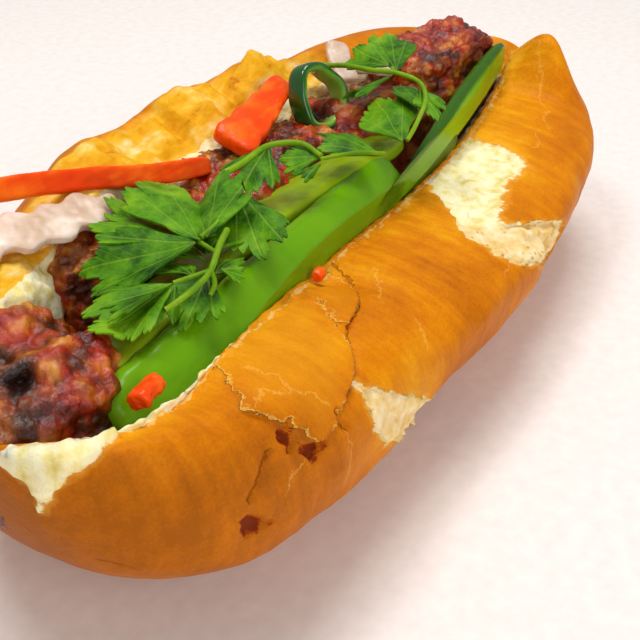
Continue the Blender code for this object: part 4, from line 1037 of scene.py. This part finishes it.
def leaf_sheet(foot, tip, spread, curl, field, seed, rows=12, rays=236):
    """A fan in polar form about its foot, bent along it and rippled across, as top and under sheets."""
    foot, tip = np.asarray(foot, float), np.asarray(tip, float)
    ahead = tip - foot
    length = np.linalg.norm(ahead)
    ahead = ahead / length
    side = np.cross([0, 0, 1.0], ahead)
    side = side / np.linalg.norm(side)
    upward = np.cross(ahead, side)
    roll_over = 0.35 * math.sin(seed * 2.3 + 0.4)
    side, upward = (math.cos(roll_over) * side + math.sin(roll_over) * upward,
                    math.cos(roll_over) * upward - math.sin(roll_over) * side)
    fan = 0.7 * spread + 0.5
    angle = np.linspace(-fan, fan, rays)[None]
    share = np.linspace(0, 1, rows + 1)[1:, None]
    out = share * leaf_reach(angle, spread, seed)
    reach = out * length
    wave = curl * length * (0.5 * out ** 2 * np.cos(angle * 2.2) - 0.45 * out ** 2)
    wave = wave + 0.07 * length * out * np.sin(angle * 4.1 + length)
    wave = wave + 0.05 * length * out ** 2 * np.sin(angle * 8.0 + seed * 2.0) - 0.06 * length * out ** 4
    grid = foot + (reach * np.cos(angle))[..., None] * ahead + (reach * np.sin(angle))[..., None] * side
    grid = grid + wave[..., None] * upward
    top = np.concatenate([foot[None], grid.reshape(-1, 3)])
    top[:, 2] = top[:, 2] + 0.5 * roughness_at(top, 5.0, 91) + 0.12 * roughness_at(top, 1.8, 93)
    top = lifted(top, field, LEAF_THICKNESS + 0.3)
    under = top - [0, 0, LEAF_THICKNESS]
    count = len(top)
    i, j = np.meshgrid(np.arange(rows - 1), np.arange(rays - 1), indexing="ij")
    a = (1 + i * rays + j).ravel()
    quads = np.stack([a, a + rays, a + rays + 1, a + 1], -1)
    k = np.arange(rays - 1)
    fans = np.stack([0 * k, 1 + k, 2 + k], -1)
    left = 1 + np.arange(rows) * rays
    right = rays + np.arange(rows) * rays
    loop = np.concatenate([[0], left, np.arange(left[-1] + 1, right[-1]), right[::-1]])
    beside = np.roll(loop, -1)
    wall = np.stack([loop, beside, count + beside, count + loop], -1)
    faces = quads.tolist() + fans.tolist()
    faces = faces + (count + quads[:, ::-1]).tolist() + (count + fans[:, ::-1]).tolist()
    faces = faces + wall[:, ::-1].tolist()
    turns = np.stack([angle - FINGER_ANGLE * k * spread for k in (-1, 0, 1)])
    turn = np.take_along_axis(turns, np.abs(turns).argmin(0)[None], 0)[0]
    rib = reach * np.sin(np.abs(turn))
    branch = reach * np.cos(turn) - 1.5 * rib
    marks = [np.concatenate([[0.0], np.broadcast_to(v, reach.shape).ravel()]) for v in (rib, branch, out)]
    return np.concatenate([top, under]), faces, [np.tile(mark, 2) for mark in marks]


def stem_tube(path, radius, field, steps=40, ring=10):
    """A round stem along a smooth path, tapering a little, lifted clear of the filling."""
    spots = np.linspace(0, 1, steps)
    line = lifted(smooth_path(path, spots), field, radius + 0.2)
    line[:, 2] = np.convolve(np.pad(line[:, 2], 3, "edge"), np.ones(7) / 7, "valid")
    side, upward = sides_of(line)
    a = np.linspace(0, 2 * math.pi, ring, endpoint=False)[None, :, None]
    size = radius * (1 - 0.2 * spots)[:, None, None]
    rings = line[:, None] + size * (np.cos(a) * side[:, None] + np.sin(a) * upward[:, None])
    points = np.concatenate([[line[0]], rings.reshape(-1, 3), [line[-1]]])
    return points, tube_faces(steps, ring)


def make_sprig(name, leaves, stems, field):
    """All leaves and stems of one sprig in one mesh; each leaf has a tint, and a stem's tint is minus nine."""
    points, faces, marks = [], [], []
    total = 0
    for seed, (foot, tip, spread, curl) in enumerate(leaves):
        p, f, (rib, branch, out) = leaf_sheet(foot, tip, math.radians(spread), curl, settled(field), seed * 1.7)
        faces += [[k + total for k in face] for face in f]
        total += len(p)
        points.append(p)
        marks.append([rib, branch, out, np.full(len(p), math.sin(seed * 2.4 + len(leaves)))])
    for path, share in stems:
        p, f = stem_tube(path, STEM_RADIUS * share, field)
        faces += [[k + total for k in face] for face in f]
        total += len(p)
        points.append(p)
        marks.append([np.full(len(p), 9.0), np.zeros(len(p)), np.zeros(len(p)), np.full(len(p), -9.0)])
    rib, branch, out, tint = (np.concatenate([mark[k] for mark in marks]) for k in range(4))
    marks = {"rib": rib, "branch": branch, "out": out, "tint": tint}
    made = finish_mesh(name, np.concatenate(points), faces, marks)
    made.data.set_sharp_from_angle(angle=math.radians(50))
    return made


def cilantro_material():
    """Fresh cilantro: soft green blades with fine paler veins, no two alike; smooth pale stems."""
    made, tree, shader = new_material("fresh_cilantro", Roughness=0.42, IOR=1.4, Specular_IOR_Level=0.15)
    where = add(tree, "TexCoord", out="Object")
    rib, branch, out, tint = (add(tree, "Attribute", out="Fac", attribute_name=name)
                              for name in ("rib", "branch", "out", "tint"))
    # Blade colour drifts over 6 mm, with cell mottling near 1 mm.
    drift = add(tree, "TexNoise", {"Vector": where, "Scale": 130.0, "Detail": 5.0, "Roughness": 0.65})
    # Blades are darker toward their foot and paler toward their tips: painted shade toward the crowded middle
    # of the sprig.
    tone = add(tree, "Math", {0: out, 1: 0.16, 2: drift}, operation="MULTIPLY_ADD")
    tone = add(tree, "Math", {0: tint, 1: 0.07, 2: tone}, operation="MULTIPLY_ADD")
    blade = add(tree, "ValToRGB", {"Fac": tone}, stops=[
        (0.36, "#0E3205"), (0.50, "#2E6006"), (0.64, "#528A0A"), (0.84, "#80AC1A")])
    # Veins 0.25 mm wide: one down each lobe, and side veins that leave it every 2.6 mm.
    main = add(tree, "MapRange", {0: rib, 1: 0.08, 2: 0.26, 3: 0.28, 4: 0.0})
    side = add(tree, "Math", {0: branch, 1: 1.3}, operation="PINGPONG")
    side = add(tree, "MapRange", {0: side, 1: 0.06, 2: 0.26, 3: 0.12, 4: 0.0})
    vein = add(tree, "Math", {0: main, 1: side}, operation="MAXIMUM")
    blade = add(tree, "Mix", {0: vein, 6: blade, 7: "#96B83C"}, out=2, data_type="RGBA")
    stem = add(tree, "ValToRGB", {"Fac": drift}, stops=[
        (0.35, "#56840A"), (0.6, "#7CA416"), (0.8, "#A0BC3C")])
    is_stem = add(tree, "Math", {0: tint, 1: -5.0}, operation="LESS_THAN")
    colour = add(tree, "Mix", {0: is_stem, 6: blade, 7: stem}, out=2, data_type="RGBA")
    tree.links.new(colour, shader.inputs["Base Color"])
    crinkle = add(tree, "Math", {0: vein, 1: -0.5, 2: drift}, operation="MULTIPLY_ADD")
    dent = add(tree, "Bump", {"Height": crinkle, "Strength": 0.6, "Distance": 0.0010})
    tree.links.new(dent, shader.inputs["Normal"])
    return made


cilantro = cilantro_material()
field = height_of(height_points)
for name, (leaves, stems) in SPRIGS.items():
    sprig = make_sprig(name + "_sprig", leaves, stems, field)
    sprig.data.materials.append(cilantro)
    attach(sprig, "root")
    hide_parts(name)
    field = np.maximum(field, height_of([sprig]))

# The setting: a plain pale floor, soft studio light, and a camera at the height of a seated guest.
FLOOR_HALF = 3000.0


def make_floor():
    """A wide flat sheet under the roll, matt and nearly white."""
    points = np.array([[-1, -1, 0], [1, -1, 0], [1, 1, 0], [-1, 1, 0]]) * FLOOR_HALF
    made = finish_mesh("floor", points, [[0, 1, 2, 3]])
    paper, tree, shader = new_material("pale_paper", Roughness=0.8)
    where = add(tree, "TexCoord", out="Object")
    tooth = add(tree, "TexNoise", {"Vector": where, "Scale": 300.0})
    tint = add(tree, "ValToRGB", {"Fac": tooth}, stops=[(0.3, "#EFE6E2"), (0.7, "#F5EEEA")])
    tree.links.new(tint, shader.inputs["Base Color"])
    made.data.materials.append(paper)
    return made


make_floor()

scene = bpy.context.scene
scene.view_settings.view_transform = "Standard"
scene.view_settings.look = "None"
room = bpy.data.worlds.new("room")
room.use_nodes = True
room.node_tree.nodes["Background"].inputs["Color"].default_value = linear("#FFFCF6")
room.node_tree.nodes["Background"].inputs["Strength"].default_value = 0.38
scene.world = room


def soft_box(name, place, target, size, power):
    """A square area light at a place, turned to face the target."""
    lamp = bpy.data.lights.new(name, "AREA")
    lamp.shape = "SQUARE"
    lamp.size = size
    lamp.energy = power
    made = bpy.data.objects.new(name, lamp)
    scene.collection.objects.link(made)
    made.location = place
    towards = np.asarray(target, float) - np.asarray(place, float)
    made.rotation_mode = "QUATERNION"
    made.rotation_quaternion = Vector(towards).to_track_quat("-Z", "Y")
    return made


soft_box("window", (0.25, 0.10, 0.85), (0, 0, 0.03), 0.4, 4.1)
soft_box("bounce", (-0.35, -0.75, 0.45), (0, 0, 0.03), 0.6, 3.3)
soft_box("glint", (-0.12, 0.16, 0.55), (0, 0, 0.03), 0.12, 0.8)

# Camera: pinhole values fitted to the outline of the roll in the photograph, in degrees and metres.
CAMERA_AZIMUTH = -59.19
CAMERA_ELEVATION = 34.31
CAMERA_ROLL = 0.12
CAMERA_DISTANCE = 0.25416
CAMERA_TARGET = (0.0114, 0.0028, -0.0034)
FOCAL_PIXELS = 1000.0
PHOTO_PIXELS = 640
SENSOR_WIDTH = 36.0
azimuth, elevation, roll_angle = (math.radians(v) for v in (CAMERA_AZIMUTH, CAMERA_ELEVATION, CAMERA_ROLL))
level = math.cos(elevation)
back = np.array([math.sin(azimuth) * level, -math.cos(azimuth) * level, math.sin(elevation)])
right = np.cross(-back, [0, 0, 1.0])
right = right / np.linalg.norm(right)
up = np.cross(right, -back)
right, up = (math.cos(roll_angle) * right + math.sin(roll_angle) * up,
             math.cos(roll_angle) * up - math.sin(roll_angle) * right)
lens = bpy.data.cameras.new("camera")
lens.sensor_width = SENSOR_WIDTH
lens.lens = FOCAL_PIXELS / PHOTO_PIXELS * SENSOR_WIDTH
lens.clip_start = 0.01
camera = bpy.data.objects.new("camera", lens)
scene.collection.objects.link(camera)
place = np.asarray(CAMERA_TARGET) + back * CAMERA_DISTANCE
pose = np.eye(4)
pose[:3, 0], pose[:3, 1], pose[:3, 2], pose[:3, 3] = right, up, back, place
camera.matrix_world = Matrix(pose.tolist())
scene.camera = camera
